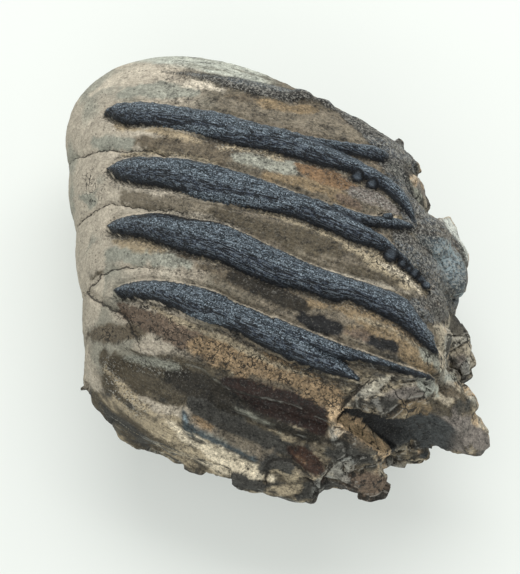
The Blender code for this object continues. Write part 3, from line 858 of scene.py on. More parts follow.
points += normals * height[:, None]
points[:, 2] = np.maximum(points[:, 2], 0)
tooth.data.vertices.foreach_set("co", (points * MM).ravel())
tooth.data.update()
tooth.data.calc_loop_triangles()
thin = tooth.modifiers.new("thin", "DECIMATE")
thin.ratio = TRIANGLES / len(tooth.data.loop_triangles)
molar = evaluated_copy(tooth, "fossil_molar")
bpy.data.objects.remove(tooth, do_unlink=True)

points, normals = mesh_points(molar.data)
packed_low, packed_high = np.array(packed_box) / MM
placed = np.clip(points + TO_PACKED, packed_low, packed_high)
molar.data.vertices.foreach_set("co", (placed * MM).ravel())
molar.data.update()
molar.data.shade_smooth()
points = placed - TO_PACKED
molar.data.calc_loop_triangles()
print("carved tooth:", len(molar.data.loop_triangles), "triangles")

# %% [markdown]
# The colours are painted in plan with short brush strokes. A stroke is a row of places,
# each with a half width, and a colour from a palette of named earth tones. That is how a
# model maker would stain a cast: thin, overlapping patches with ragged edges. An image
# texture would be one photograph's light and shade baked in, and a few noises alone would
# miss that each plate has its own colours. The result is stored on the mesh, as one colour
# for each point.

# %% Palette
# Reflected colours as red, green and blue on the usual screen scale of 0 to 255.
PALETTE = {
    "crown tan": (168, 159, 143),
    "light tan": (181, 172, 155),
    "pale cap": (160, 162, 151),
    "grey green": (138, 138, 126),
    "cream": (152, 140, 117),
    "rim cream": (206, 194, 170),
    "root cream": (164, 154, 135),
    "block tan": (192, 166, 132),
    "strip tan": (134, 114, 88),
    "honey": (122, 106, 82),
    "gold tan": (148, 134, 110),
    "gold": (150, 130, 82),
    "rust": (116, 92, 67),
    "deep rust": (54, 37, 28),
    "brown": (93, 84, 70),
    "drab": (108, 100, 86),
    "olive": (77, 70, 57),
    "dark olive": (41, 37, 30),
    "red brown": (99, 85, 72),
    "blue streak": (58, 66, 68),
    "red dark": (37, 23, 18),
    "mauve": (116, 109, 102),
    "blue grey sheen": (136, 152, 157),
    "pale flake": (184, 186, 178),
    "smudge": (19, 19, 20),
    "soot": (58, 57, 53),
    "slate": (58, 61, 61),
    "cavity shade black": (26, 27, 28),
}


def linear(colour):
    """A screen colour as the light it stands for, from 0 to 1."""
    share = np.array(colour, float) / 255
    return np.where(share < 0.04045, share / 12.92, ((share + 0.055) / 1.055) ** 2.4)


EARTHS = {name: linear(colour) for name, colour in PALETTE.items()}
print("palette:", len(EARTHS), "colours")

# %% [markdown]
# Each stroke is one patch that can be named in the photograph: a tan lobe, a dark smudge, a
# rim of cream. A later stroke lies over an earlier one, as paint does.

# %% Brush strokes on the top, in the order they are laid
# Colour, then x, y and half width of each place along the stroke, in millimetres.
STROKES = [
    # between the far rim and the first full plate
    ("grey green", [(-53, 60, 3), (-41, 59, 4), (-29, 57, 3)]),
    ("pale cap", [(-43, 75, 1.5), (-33, 74, 2), (-22, 70, 2), (-13, 67, 1), (-7, 65, 0.5)]),
    ("grey green", [(-31, 71.4, 0.7), (-22, 69, 0.9), (-15, 67.2, 0.5)]),
    ("light tan", [(-66, 64, 1.5), (-56, 69, 2.5), (-45, 71, 1.5)]),
    ("light tan", [(-32, 61, 1.5), (-25, 60, 2.3), (-19, 57.5, 1)]),
    ("drab", [(-19, 52, 2), (-9, 52, 4), (8, 47, 5), (25, 42, 4), (36, 37, 3)]),
    ("brown", [(-17, 55, 2.3), (-8, 55, 2)]),
    ("honey", [(-5, 53, 2), (4, 51, 2), (13, 52, 2)]),
    # between the first and second plates
    ("brown", [(-52, 40, 1.5), (-38, 37, 2.5), (-25, 33.5, 3), (-12, 31.5, 1.5)]),
    ("grey green", [(-63, 42, 2.2), (-51, 39, 1.8)]),
    ("brown", [(-43, 35, 1.6), (-30, 32, 1.6), (-18, 28, 1.6)]),
    ("gold tan", [(-56, 47, 1), (-47, 43, 1), (-38, 41, 1.5), (-31, 38, 1.4), (-27, 36.5, 0.8)]),
    ("grey green", [(-14, 29.5, 1.5), (-3, 27, 3), (6, 26, 2.2)]),
    ("cream", [(-19, 34, 1.2), (-9, 33, 1.5), (1, 29.5, 1.2)]),
    ("honey", [(-4, 23, 1.5), (6, 21, 2.2), (16, 18, 2.4), (25, 12.5, 1.6)]),
    ("rust", [(7, 26, 1.4), (17, 22.5, 3), (25, 19, 2.4)]),
    ("mauve", [(25, 17, 2), (32, 15.5, 3), (39, 11.5, 2)]),
    ("red brown", [(20.5, 15.3, 1), (24, 14, 1.8), (26.5, 12, 1.1)]),
    ("cream", [(25, 22, 0.7), (27.5, 21, 1.2)]),
    ("cream", [(34, 9.3, 0.8), (41, 9, 0.8)]),
    ("cream", [(-54, 35.2, 0.5), (-43, 33.8, 0.6), (-31, 31, 0.6), (-21, 28, 0.4)]),
    # between the second and third plates
    ("drab", [(-52, 19, 2), (-44, 16.5, 2.6), (-33, 12.6, 2.4), (-23, 9.6, 2.2), (-13, 6, 1.8)]),
    ("olive", [(-21, 9, 2), (-9, 5, 3), (7, -0.5, 4), (19, -6, 2.6)]),
    ("crown tan", [(-57, 14, 1.2), (-43, 12.4, 0.6), (-26, 7.4, 0.5), (-13, 3, 0.5)]),
    ("olive", [(6, 3, 1.4), (15, -0.5, 2.4), (22, -4.5, 1.5)]),
    ("cream", [(22, -3, 1.5), (31, -6.5, 3.3), (41, -12, 3.8), (48, -17.5, 1.6)]),
    ("olive", [(15, -8, 1), (26, -11.5, 1.4), (38, -15, 0.9)]),
    ("rim cream", [(32, -8.4, 0.8), (40, -12, 1.6), (46.5, -16.6, 1)]),
    ("cream", [(-12, 11, 0.5), (-4, 9, 0.8), (7, 5, 0.9), (14, 2, 1.1), (23, -2.2, 1)]),
    ("gold", [(42, 5.2, 0.6), (45.4, 2.6, 1.2)]),
    ("light tan", [(5, -8.6, 0.4), (20, -13, 0.5), (33, -16, 0.5), (42, -18.4, 0.4)]),
    # between the third and fourth plates
    ("grey green", [(-59, 0, 2), (-42, -4, 2.6), (-29, -8, 1.7)]),
    ("gold tan", [(-56, 4, 1), (-46, 1, 1.8), (-36, -3.4, 1)]),
    ("brown", [(-26, -9, 1.6), (-16, -13, 3), (-4, -17, 3.2), (8, -22, 2.6)]),
    ("dark olive", [(-15, -13.6, 1.6), (-6, -17.8, 2.6), (3, -21.6, 2.6), (9, -24.4, 1.2)]),
    ("brown", [(-33, -5, 1), (-27, -5.4, 1.7), (-22, -6.5, 1)]),
    ("cream", [(-25.5, -6.4, 0.9), (-19.5, -7.4, 1.3)]),
    ("honey", [(11, -22.4, 1.2), (21, -24.5, 2.4), (34, -29.5, 3.6), (46, -36, 2.6)]),
    ("honey", [(22, -32, 1.6), (34, -33.5, 2.6), (41, -37.5, 2.8), (48, -42, 1.8)]),
    ("cream", [(24, -27, 0.8), (36, -31, 1), (46, -37, 1)]),
    ("smudge", [(7, -27.6, 1.4), (12, -29.4, 3), (18, -31, 2.8)]),
    ("red brown", [(21, -31.8, 0.8), (27, -33.6, 1.6)]),
    ("smudge", [(30, -34.8, 1.4), (36, -36.4, 2.2)]),
    # the lobes at the crown end
    ("crown tan", [(-67, 34, 5), (-69, 7, 4)]),
    ("crown tan", [(-62, 4, 3), (-61, -10, 3), (-63, -20, 3)]),
    ("grey green", [(-68, 24, 1.6), (-64, 21, 1.8)]),
    ("olive", [(-63, -5.5, 1), (-60, -5, 0.9)]),
    # under the fourth plate
    ("brown", [(-64, -24, 2), (-54, -27, 3), (-46, -27.5, 2)]),
    ("red brown", [(-52, -19.5, 1.8), (-42, -25, 3.6), (-30, -31.5, 3.8)]),
    ("strip tan", [(-27, -34, 2.8), (-12, -40, 4.6), (4, -46, 5), (17, -52, 4.4)]),
    ("cream", [(-42, -20.6, 0.4), (-29, -28, 0.7), (-16, -33.6, 1), (-3, -40, 1), (11, -45, 0.6)]),
    # the hollow of the sixth plate
    ("olive", [(-55, -35, 3), (-46, -40, 5.4), (-33, -43, 6.4), (-20, -47, 5.6), (-10, -51, 4)]),
    ("dark olive", [(-36, -41, 2.4), (-27, -45, 3.4), (-16, -49, 3.2), (-8, -53, 2)]),
    ("red dark", [(-17, -44.6, 1.6), (-11, -47.3, 3), (-3, -50.7, 3.8), (6, -54.1, 4), (13, -57.5, 3)]),
    ("brown", [(-9, -44.2, 0.6), (-1, -46.6, 0.7), (7, -49, 0.7)]),
    ("soot", [(-29, -50, 1.8), (-18, -54.5, 2.4), (-4, -61, 2.6), (8, -65.5, 2)]),
    (
        "dark olive",
        [(-20, -50.4, 0.6), (-13, -52.3, 0.8), (-4, -56.3, 0.9), (7, -60.3, 1), (17, -63.4, 0.8)],
    ),
    ("olive", [(-59, -33, 2.2), (-57, -40, 2.8), (-51, -46, 2.2)]),
    ("cream", [(-58.4, -37, 0.7), (-54, -41, 0.9), (-48, -47, 1), (-42, -51.8, 1.3), (-35, -53.4, 1)]),
    ("grey green", [(-51, -33.6, 0.5), (-42, -36.5, 0.6), (-33, -39, 0.4)]),
    ("crown tan", [(-66, -29, 1.4), (-64, -37, 1.7), (-61, -42, 1.2)]),
    ("olive", [(-63, -44, 1.2), (-56.6, -50, 1.8), (-48, -56.2, 2.2), (-39.4, -61.4, 1.4)]),
    ("soot", [(-61, -46, 0.6), (-56, -51, 1), (-50, -55, 1), (-43, -60, 0.7)]),
    (
        "cream",
        [(-56, -45.6, 0.4), (-50, -50.6, 0.7), (-43, -55, 1.2), (-36, -59.6, 1.4), (-29, -64.4, 1.1)],
    ),
    ("soot", [(-27.7, -68, 1.4), (-21, -70.1, 2), (-12.7, -72.8, 2), (-5.3, -74.8, 1.4)]),
    (
        "rim cream",
        [(-36, -55.3, 1), (-29.3, -60.6, 1.4), (-21, -64.8, 1.6), (-11, -69.3, 1.6), (-2.7, -72.9, 1.2)],
    ),
    ("soot", [(-31, -59, 0.4), (-24, -62.4, 0.5), (-17, -65.4, 0.5), (-9, -69, 0.5)]),
    (
        "blue streak",
        [(-31.4, -52.7, 1.1), (-30.4, -56.8, 1.2), (-24.2, -60, 1), (-17.5, -63, 1.1), (-8, -67.4, 1)],
    ),
    # a painted blue-grey highlight at the end of the last strip of enamel
    ("blue grey sheen", [(-31, -54, 0.4), (-30.4, -56, 0.2)]),
    ("rim cream", [(-25, -62.6, 0.8), (-17.6, -65.4, 1.2), (-10, -69, 0.9)]),
    ("grey green", [(-24.2, -59, 0.1), (-17.6, -61.7, 0.1), (-10.9, -64.8, 0.1)]),
    ("strip tan", [(-27.5, -54.6, 1.2), (-23.9, -56.4, 1.5), (-21.9, -58, 0.8)]),
    ("grey green", [(-15.3, -51.8, 0.1), (-9.3, -54.2, 0.2), (-2.7, -57.3, 0.2), (1.9, -60, 0.1)]),
    ("soot", [(-5.3, -69.8, 1.8), (-1, -67.8, 2.4), (3.3, -69.2, 2)]),
    ("deep rust", [(4.6, -65, 1.8), (9.3, -67.7, 2.8), (13.2, -70.7, 2.4)]),
    ("rust", [(5.4, -66.4, 0.2), (8.3, -68.2, 0.4)]),
    ("cream", [(-3.3, -75.1, 0.8), (2.3, -76.1, 1.4), (7.3, -74.8, 1.1)]),
    ("soot", [(6.6, -78.4, 1.6), (11.3, -75.7, 1.8), (16, -73.7, 1.6)]),
    # the broken roots
    ("root cream", [(28, -48.5, 2.4), (39, -48, 3.6), (53, -48, 4.4)]),
    ("cream", [(29, -47.8, 1.6), (37, -47.4, 2)]),
    ("honey", [(40, -53, 2), (50, -52.4, 2.2)]),
    ("mauve", [(35, -50.6, 1.3), (42, -50, 1.7), (48, -49, 1)]),
    ("mauve", [(54, -52, 2.6), (60, -56, 4.6), (68, -57.5, 3.6), (73, -60, 2.4)]),
    ("block tan", [(18, -56, 1.8), (25, -58, 3.4), (30, -61, 3.2), (35, -63.6, 2.6)]),
    ("block tan", [(19, -60.5, 1.8), (24, -61.6, 2.6), (28, -63.4, 2)]),
    ("brown", [(56, -36.5, 1.6), (60.7, -40, 2.2)]),
    ("grey green", [(47, -38, 1.6), (53, -39.4, 2.2), (57, -41, 1.6)]),
    ("brown", [(53, -44, 1.6), (57, -45, 2), (61, -46.4, 1.4)]),
    ("olive", [(49, -50, 1.4), (52, -50.4, 1.8), (56, -51.6, 1.8)]),
    ("root cream", [(62, -33, 1.8), (64, -38, 2.4)]),
    ("root cream", [(62, -24, 3), (66, -30, 3.4), (68, -37, 2.4)]),
    ("brown", [(17, -69, 2.4), (25, -72, 3.4)]),
    ("red brown", [(24, -75, 4), (36, -76, 4)]),
    ("soot", [(16, -66, 1), (24, -67, 1.5), (31, -68, 1)]),
    ("root cream", [(57, -20, 2.8), (61, -28, 3.6)]),
    ("mauve", [(63, -34, 3.2), (65, -38, 2.2)]),
    ("soot", [(57, -30.5, 0.6), (60.5, -32.6, 0.5)]),
    ("root cream", [(53, -33, 1.6), (54, -40, 2)]),
    ("pale cap", [(45, -46.2, 1.4), (48.4, -47, 2), (52, -46.6, 1)]),
    ("pale flake", [(55, 17, 1.6), (60, 12.5, 3), (64.5, 8, 2.4), (64.5, 3, 1.6)]),
    # the lump of enamel, with a painted blue-grey sheen
    ("blue grey sheen", [(49, 2, 2), (55, 0, 3.6), (59, -5, 4.4), (60, -10, 3)]),
    ("brown", [(59, 3, 1.8), (62, 0, 1)]),
    ("grey green", [(39, 30, 1.2), (46, 22.5, 1.6), (52, 15, 1.6)]),
    ("mauve", [(38, 35.5, 1.8), (45, 36, 1.8)]),
]
STROKE_EDGE = 0.4
STROKE_RAGGED = 1.5
WIDE_STROKE = 2.0
# A tan block stands in front of the cavity's mouth.
BLOCK = [(18, -55.4, 2.2), (25, -57.6, 3.6), (30, -60.6, 3.4), (35, -63, 2.8)]


def stroke_depth(plan, rows):
    """How deep each plan point is inside a brush stroke."""
    rows = np.array(rows, float)
    depth = np.full(len(plan), -99.0)
    for (ax, ay, aw), (bx, by, bw) in zip(rows, rows[1:]):
        a, run = np.array([ax, ay]), np.array([bx - ax, by - ay])
        share = np.clip((plan - a) @ run / (run @ run), 0, 1)
        away = np.hypot(*(plan - a - share[:, None] * run).T)
        depth = np.maximum(depth, aw + (bw - aw) * share - away)
    return depth


def strokes_near(rows, points):
    """1 on a stroke and near it, and 0 away from it."""
    return smoothstep(-0.8, 0.8, stroke_depth(points[:, :2], rows))


print("strokes:", len(STROKES))

# %% [markdown]
# The strokes go over a base coat that knows which side of the tooth a point is on: tan
# cementum at the crown, browner towards the root, layered dentine on the break, and dark
# stain on the split side. Each coat is a colour and a share for every point, blended with
# noise, so that no edge is straight.

# %% Paint the base coat
def blended(base, name, share):
    """A colour for each point, with a share of a named earth tone laid over it."""
    return base + (EARTHS[name] - base) * np.clip(share, 0, 1)[:, None]


painted = Survey(points, normals, TOP_TO_PAINT, crumbling=False)
plan, grain, upper = painted.plan, painted.grain, painted.upper
wide_noise = unevenness(points, 22.0, 31)
mid_noise = unevenness(points, 8.0, 32)
small_noise = unevenness(points, 2.6, 33)
long_noise = streaks(grain, 22.0, 2.4, 34)

browner = smoothstep(-48, -12, points[:, 0] + 10 * wide_noise)
far_cap = smoothstep(63, 68, points[:, 1] + 0.35 * points[:, 0] + 7) * smoothstep(2, -8, points[:, 0])
root_side = smoothstep(0.2, 0.6, normals[:, 0]) * smoothstep(20, 40, points[:, 0])
dentine = np.maximum(root_side, painted.root)
split_side = smoothstep(0.1, 0.5, -normals[:, 1]) * smoothstep(-34, -42, points[:, 1])

base_coats = [
    ("light tan", 0.5 * smoothstep(0.1, 0.5, mid_noise)),
    ("grey green", 0.8 * smoothstep(0.0, 0.35, wide_noise + 0.4 * mid_noise)),
    ("brown", 0.85 * browner),
    ("drab", 0.3 * painted.crown * smoothstep(5, -22, points[:, 1])),
    ("pale cap", far_cap * smoothstep(-0.2, 0.2, normals[:, 2])),
    ("olive", 0.6 * browner * smoothstep(0.1, 0.4, long_noise)),
    ("root cream", dentine),
    ("mauve", dentine * 0.9 * smoothstep(0.0, 0.3, mid_noise + 0.3 * small_noise)),
    ("block tan", dentine * 0.7 * smoothstep(0.1, 0.4, -wide_noise + small_noise)),
    ("olive", split_side * 0.9),
    ("cream", split_side * smoothstep(0.05, 0.3, mid_noise + 0.5 * small_noise)),
    ("soot", split_side * smoothstep(0.1, 0.35, -mid_noise + 0.3 * long_noise)),
]
stain_and_shade = np.tile(EARTHS["crown tan"], (len(points), 1))
for name, share in base_coats:
    stain_and_shade = blended(stain_and_shade, name, share)
print("base coats:", len(base_coats))

# %% [markdown]
# Now the strokes are laid. Three kinds of ragged edge take turns, so that neighbouring
# strokes never match. Over them each flat face of the broken dentine gets a tone of its
# own, and the pulp cavity gets painted shade: near black where it is deep.

# %% Lay the strokes, the faces of the break and the painted shade of the cavity
# The strokes fade out on surfaces that turn away from the camera.
turned_to_camera = smoothstep(0.0, 0.27, normals[:, 2] * 0.94 - normals[:, 1] * 0.34)
drawn_out = grain * np.array([0.45, 1.0, 1.0])
edges = [crumbled(drawn_out, 40 + 5 * k) + 0.4 * streaks(grain, 14.0, 1.2, 60 + k) for k in range(3)]
for number, (name, rows) in enumerate(STROKES):
    widest = max(half_width for _, _, half_width in rows)
    ragged = STROKE_RAGGED * min(1.0, max(0.25, widest / WIDE_STROKE))
    depth = stroke_depth(plan, rows) + ragged * edges[number % 3]
    stain_and_shade = blended(stain_and_shade, name, smoothstep(-STROKE_EDGE, STROKE_EDGE, depth) * turned_to_camera)

near_block = strokes_near(BLOCK, points)
face_tone = 0.9 * painted.wide_faces[1] + 0.2 * painted.small_faces[1]
faced = painted.rough_break * (1 - painted.smooth_break) * (1 - 0.8 * near_block)
stain_and_shade = blended(stain_and_shade, "soot", 0.85 * smoothstep(0.2, 0.5, -face_tone) * faced)
stain_and_shade = blended(stain_and_shade, "pale flake", 0.35 * smoothstep(0.15, 0.5, face_tone) * faced)
# Painted shade in the pulp cavity: near black where it is deep, slate grey nearer its mouth.
deep = painted.cavity * smoothstep(62, 56, points[:, 0]) * smoothstep(0.2, 0.6, 1 - near_block)
stain_and_shade = blended(stain_and_shade, "cavity shade black", deep)
stain_and_shade = blended(stain_and_shade, "slate", deep * smoothstep(38, 50, points[:, 0]))
print("painted points:", len(stain_and_shade))

# %% [markdown]
# The shader needs to know more than the colour: how deep a point is inside the enamel, on
# which edge of its band it is, and how glossy, pitted, cracked or granular the surface is
# there. Some of these are drawn as strokes too, and each is kept on the mesh as a named
# attribute.

# %% Attributes for the shader
# Where the painted grey sheen on the lump of enamel is: its middle and half sizes in plan.
KNOB_SHEEN_SPOT = np.array([57.0, -3.0, 7.5, 9.0])
GLOSSY = [
    [(8, -29, 1), (12, -30, 2.4), (17, -31.4, 2)],
    [(22, -32.6, 1), (30, -35, 1.8), (36, -36.6, 2)],
    [(-46, -38, 2), (-37, -42, 4), (-24, -46, 4.6), (-6, -51, 4), (8, -55, 4.6), (16, -57.5, 3)],
    [(-31, -52, 1.2), (-26, -58.5, 1.6), (-18, -62.5, 1.8), (-9, -66, 1.8), (-4, -68, 1.2)],
    [(50, 1, 1.4), (55, -1, 3), (60, -5, 3.4), (62, -9, 2)],
    [(6, -69.4, 1.4), (9, -70.4, 2), (14, -71.8, 1.4)],
    [(54, -53, 3), (62, -57, 4), (72, -60, 3)],
]
PITTED = [
    [(-52, -20, 3), (-42, -25, 5), (-30, -31.5, 5)],
    [(-64, -24, 2), (-54, -27, 3), (-46, -28, 3)],
    [(-27, -34, 3), (-12, -40, 4.6), (4, -46, 5), (17, -52, 4.4)],
    [(22, -3, 1.5), (31, -6.5, 3.5), (41, -12, 4), (48, -17.5, 1.6)],
    [(-66, 30, 3), (-62, 22, 3)],
]
GRANULAR = [
    [(-51, -35, 2), (-42, -37.5, 2.4), (-31, -40.6, 1.6)],
    [(-57, -36, 3), (-55, -42, 3), (-46, -50, 3)],
    [(25, 17, 2), (32, 15.5, 3.4), (39, 11.5, 3)],
    [(40, 3, 3), (47, 1, 4)],
    [(-19, 34, 2), (-9, 33, 2), (1, 29.5, 1.6)],
]
# A point whose surface turns away counts as this far outside any shape drawn in plan.
AWAY_FROM_ENAMEL = 6
AWAY_FROM_LINES = 9


def strokes_mask(strokes, softness):
    """How much each point belongs to any of the strokes, from 0 to 1."""
    depth = np.maximum.reduce([stroke_depth(plan, rows) for rows in strokes])
    return smoothstep(-softness, softness, depth + small_noise) * upper


def keep(name, values, kind="FLOAT", field="value"):
    """Stores a number, a direction or a colour for each point of the tooth."""
    made = molar.data.attributes.new(name, kind, "POINT")
    made.data.foreach_set(field, np.asarray(values, np.float32).ravel())


def line_distance(signed, seen):
    """A distance that is cut off far from its line, and pushed away where it isn't seen."""
    return np.clip(signed, -AWAY_FROM_LINES, AWAY_FROM_LINES) + AWAY_FROM_LINES * (1 - seen)


turned_away = AWAY_FROM_ENAMEL * (1 - np.maximum(upper, painted.lower))
uneven_beads = painted.beads + 0.5 * unevenness(points, 1.7, 35)
knob_clear = np.hypot(*((plan - KNOB_SHEEN_SPOT[:2]) / KNOB_SHEEN_SPOT[2:]).T)
# The colour of each point, with the painted shade of the pulp cavity in it.
keep("stain_and_shade", np.column_stack([stain_and_shade, np.ones(len(stain_and_shade))]), "FLOAT_COLOR", "color")
keep("grain", grain, "FLOAT_VECTOR", "vector")
keep("enamel", np.maximum(painted.bands, painted.beads) - turned_away)
keep("bead", np.clip(uneven_beads, -3, 3) - turned_away)
keep("coarse_enamel", np.maximum(painted.far_band, painted.patch + 2) - turned_away)
# Where the painted sheen on the lump of enamel lies.
keep("knob_sheen", smoothstep(1.1, 0.4, knob_clear) * upper)
keep("band_edge", nearest_line_side(plan))
keep("crease", line_distance(painted.crease, np.maximum(painted.crown, upper)))
keep("crack_line", line_distance(painted.crack, upper))
keep("facet_gap", painted.wide_faces[2] + 1 - painted.rough_break + painted.smooth_break)
keep("rough_ground", smoothstep(-52, -30, points[:, 0] + 6 * mid_noise))
keep("glossy", np.maximum(strokes_mask(GLOSSY, 1.2), 0.7 * painted.cavity))
keep("pitted", strokes_mask(PITTED, 1.6))
keep("granular", strokes_mask(GRANULAR, 1.2))
keep("dentine", dentine * (1 - 0.85 * painted.smooth_break))
print("attributes:", [a.name for a in molar.data.attributes if not a.name.startswith(".")])

# %% [markdown]
# The finish is one material, because on the real tooth enamel and cementum meet in ragged
# edges finer than any face of the mesh. Nodes are placed and wired from code, so a small
# helper comes first: each of its calls adds one node, or a short run of them, and gives the
# socket that holds the answer.

# %% A small helper for node trees
class Tree:
    """Adds nodes to a tree and wires their inputs in the same call."""

    def __init__(self, tree):
        self.tree = tree

    def give(self, socket, value):
        """Links an input to another node's output, or sets its constant."""
        if isinstance(value, bpy.types.NodeSocket):
            self.tree.links.new(value, socket)
        else:
            socket.default_value = value

    def add(self, kind, inputs, **settings):
        made = self.tree.nodes.new(kind)
        for name, value in settings.items():
            setattr(made, name, value)
        for name, value in inputs.items():
            self.give(made.inputs[name], value)
        return made

    def math(self, operation, a, b=0.0):
        return self.add("ShaderNodeMath", {0: a, 1: b}, operation=operation).outputs[0]

    def times(self, *values):
        return functools.reduce(lambda a, b: self.math("MULTIPLY", a, b), values)

    def plus(self, *values):
        return functools.reduce(lambda a, b: self.math("ADD", a, b), values)

    def minus(self, a, b):
        return self.math("SUBTRACT", a, b)

    def one_over(self, value):
        return self.math("DIVIDE", 1.0, value)

    def larger(self, a, b):
        return self.math("MAXIMUM", a, b)

    def size_of(self, value):
        return self.math("ABSOLUTE", value)

    def step(self, value, low, high, to_low=0.0, to_high=1.0):
        """The value mapped smoothly from one range to another, and held at its ends."""
        inputs = {"Value": value, "From Min": low, "From Max": high, "To Min": to_low, "To Max": to_high}
        return self.add("ShaderNodeMapRange", inputs, interpolation_type="SMOOTHSTEP").outputs["Result"]

    def mix(self, base, colour, *shares):
        """A colour laid over a base, by a share that is the product of those given."""
        inputs = {0: self.times(*shares), 6: base, 7: colour}
        return self.add("ShaderNodeMix", inputs, data_type="RGBA").outputs[2]

    def vector_math(self, operation, inputs):
        return self.add("ShaderNodeVectorMath", inputs, operation=operation).outputs[0]

    def scaled(self, vector, factors):
        return self.vector_math("MULTIPLY", {0: vector, 1: factors})

    def noise(self, vector, scale, detail, roughness):
        inputs = {"Vector": vector, "Scale": scale, "Detail": detail, "Roughness": roughness}
        return self.add("ShaderNodeTexNoise", inputs).outputs["Fac"]

    def wobble(self, *noise_inputs):
        """Noise about zero, half a unit either way."""
        return self.minus(self.noise(*noise_inputs), 0.5)

    def kept(self, name, output="Fac"):
        """An attribute of the mesh."""
        settings = {"attribute_type": "GEOMETRY", "attribute_name": name}
        return self.add("ShaderNodeAttribute", {}, **settings).outputs[output]


print("node helper ready")

# %% [markdown]
# The effects that come back in several places are node groups: mottling, fibres, pits,
# grains, patches and cracks, each with its own size. They give masks and values only. The
# shader itself stays in the material.

# %% Mottling and fibres
def new_group(name, inputs, output, build):
    """A shader node group with named inputs, each with its first value, and one output.

    build is given the group's tree and inputs, and gives back the socket of the answer.
    """
    group = bpy.data.node_groups.new(name, "ShaderNodeTree")
    for label, value in inputs.items():
        kind = "NodeSocketVector" if value is None else "NodeSocketFloat"
        socket = group.interface.new_socket(name=label, in_out="INPUT", socket_type=kind)
        if value is not None:
            socket.default_value = value
    group.interface.new_socket(name=output, in_out="OUTPUT", socket_type="NodeSocketFloat")
    tree = Tree(group)
    answer = build(tree, tree.add("NodeGroupInput", {}).outputs)
    tree.add("NodeGroupOutput", {output: answer})
    return group


def build_mottle(tree, given):
    return tree.step(tree.noise(given["Place"], tree.one_over(given["Size"]), 5.0, 0.62), 0.3, 0.7)


def build_fibres(tree, given):
    long_way, short_way = tree.one_over(given["Length"]), tree.one_over(given["Width"])
    stretch = tree.add("ShaderNodeCombineXYZ", {"X": long_way, "Y": short_way, "Z": short_way})
    return tree.step(tree.noise(tree.scaled(given["Grain"], stretch.outputs[0]), 1.0, 3.0, 0.55), 0.3, 0.7)


mottle_group = new_group("mottle", {"Place": None, "Size": 3.0}, "Value", build_mottle)
fibre_group = new_group("fibres", {"Grain": None, "Length": 8.0, "Width": 0.5}, "Value", build_fibres)
print("groups:", [g.name for g in bpy.data.node_groups])

# %% [markdown]
# Pits are the cells of a Voronoi texture, a share of them open. Grains and patches are
# spots where noise rises above a level, and the level falls as their share grows. Cracks
# run along the borders of cells that noise has bent.

# %% Pits, grains, patches and cracks
CRACK_BEND = 2.4


def build_pits(tree, given):
    scale = tree.one_over(given["Spacing"])
    cells = tree.add("ShaderNodeTexVoronoi", {"Vector": given["Place"], "Scale": scale, "Randomness": 1.0})
    chosen = tree.add("ShaderNodeSeparateColor", {"Color": cells.outputs["Color"]}).outputs[0]
    open_here = tree.math("LESS_THAN", chosen, given["Share"])
    return tree.times(open_here, tree.step(cells.outputs["Distance"], 0.36, 0.12))


def spots(detail, roughness, level, spread, low, high):
    """Builds a mask of spots, each where noise is above a level."""

    def build(tree, given):
        value = tree.noise(given["Place"], tree.one_over(given["Size"]), detail, roughness)
        over = tree.minus(value, tree.minus(level, tree.times(given["Share"], spread)))
        return tree.step(over, low, high)

    return build


def build_cracks(tree, given):
    wander = tree.add("ShaderNodeTexNoise", {"Vector": given["Place"], "Scale": 0.5, "Detail": 3.0})
    shift = tree.vector_math("SCALE", {0: wander.outputs["Color"], 3: CRACK_BEND})
    bent = tree.vector_math("ADD", {0: given["Place"], 1: shift})
    inputs = {"Vector": bent, "Scale": tree.one_over(given["Spacing"])}
    cells = tree.add("ShaderNodeTexVoronoi", inputs, feature="DISTANCE_TO_EDGE")
    near = tree.times(cells.outputs["Distance"], given["Spacing"])
    return tree.step(tree.math("DIVIDE", near, given["Width"]), 1.0, 0.2)


small_spots = spots(2.0, 0.7, 0.72, 0.35, -0.03, 0.06)
large_spots = spots(8.0, 0.72, 0.66, 0.32, -0.02, 0.03)
pit_group = new_group("pits", {"Place": None, "Spacing": 1.6, "Share": 0.4}, "Mask", build_pits)
grain_group = new_group("grains", {"Place": None, "Size": 0.5, "Share": 0.3}, "Mask", small_spots)
patch_group = new_group("patches", {"Place": None, "Size": 4.0, "Share": 0.5}, "Mask", large_spots)
crack_group = new_group("cracks", {"Place": None, "Spacing": 5.0, "Width": 0.25}, "Mask", build_cracks)
print("groups:", [g.name for g in bpy.data.node_groups])

# %% [markdown]
# In the material each group is used several times, with other sizes. A group that is used
# twice at nearly one size gets its place mirrored, so that the two sets of grains don't
# fall on the same spots. The edge of the enamel is moved in and out by noise.

# %% The finish: masks and values
MM_PER_METRE = 1000.0

finish = bpy.data.materials.new("fossil_enamel_and_cementum")
finish.use_nodes = True
tree = Tree(finish.node_tree)
shader = finish.node_tree.nodes["Principled BSDF"]


def use(group, **inputs):
    """Places a group in the material, with its own values, and gives its one output."""
    return tree.add("ShaderNodeGroup", inputs, node_tree=group).outputs[0]


place = tree.scaled(tree.add("ShaderNodeTexCoord", {}).outputs["Object"], (MM_PER_METRE,) * 3)
grain_place = tree.kept("grain", "Vector")
lengthwise = tree.scaled(grain_place, (0.6, 1, 1))
pitted, granular, dentine_mask = tree.kept("pitted"), tree.kept("granular"), tree.kept("dentine")
band_edge, bead, rough_ground = tree.kept("band_edge"), tree.kept("bead"), tree.kept("rough_ground")

fine_ragged = tree.wobble(place, 1.1, 4.0, 0.65)
coarse_ragged = tree.wobble(place, 1.6, 5.0, 0.75)
depth = tree.plus(tree.kept("enamel"), tree.times(fine_ragged, 2.2))
coarse_depth = tree.plus(tree.kept("coarse_enamel"), tree.times(coarse_ragged, 6.0))
enamel = tree.step(depth, -0.12, 0.12)
coarse = tree.step(coarse_depth, -0.4, 0.9)

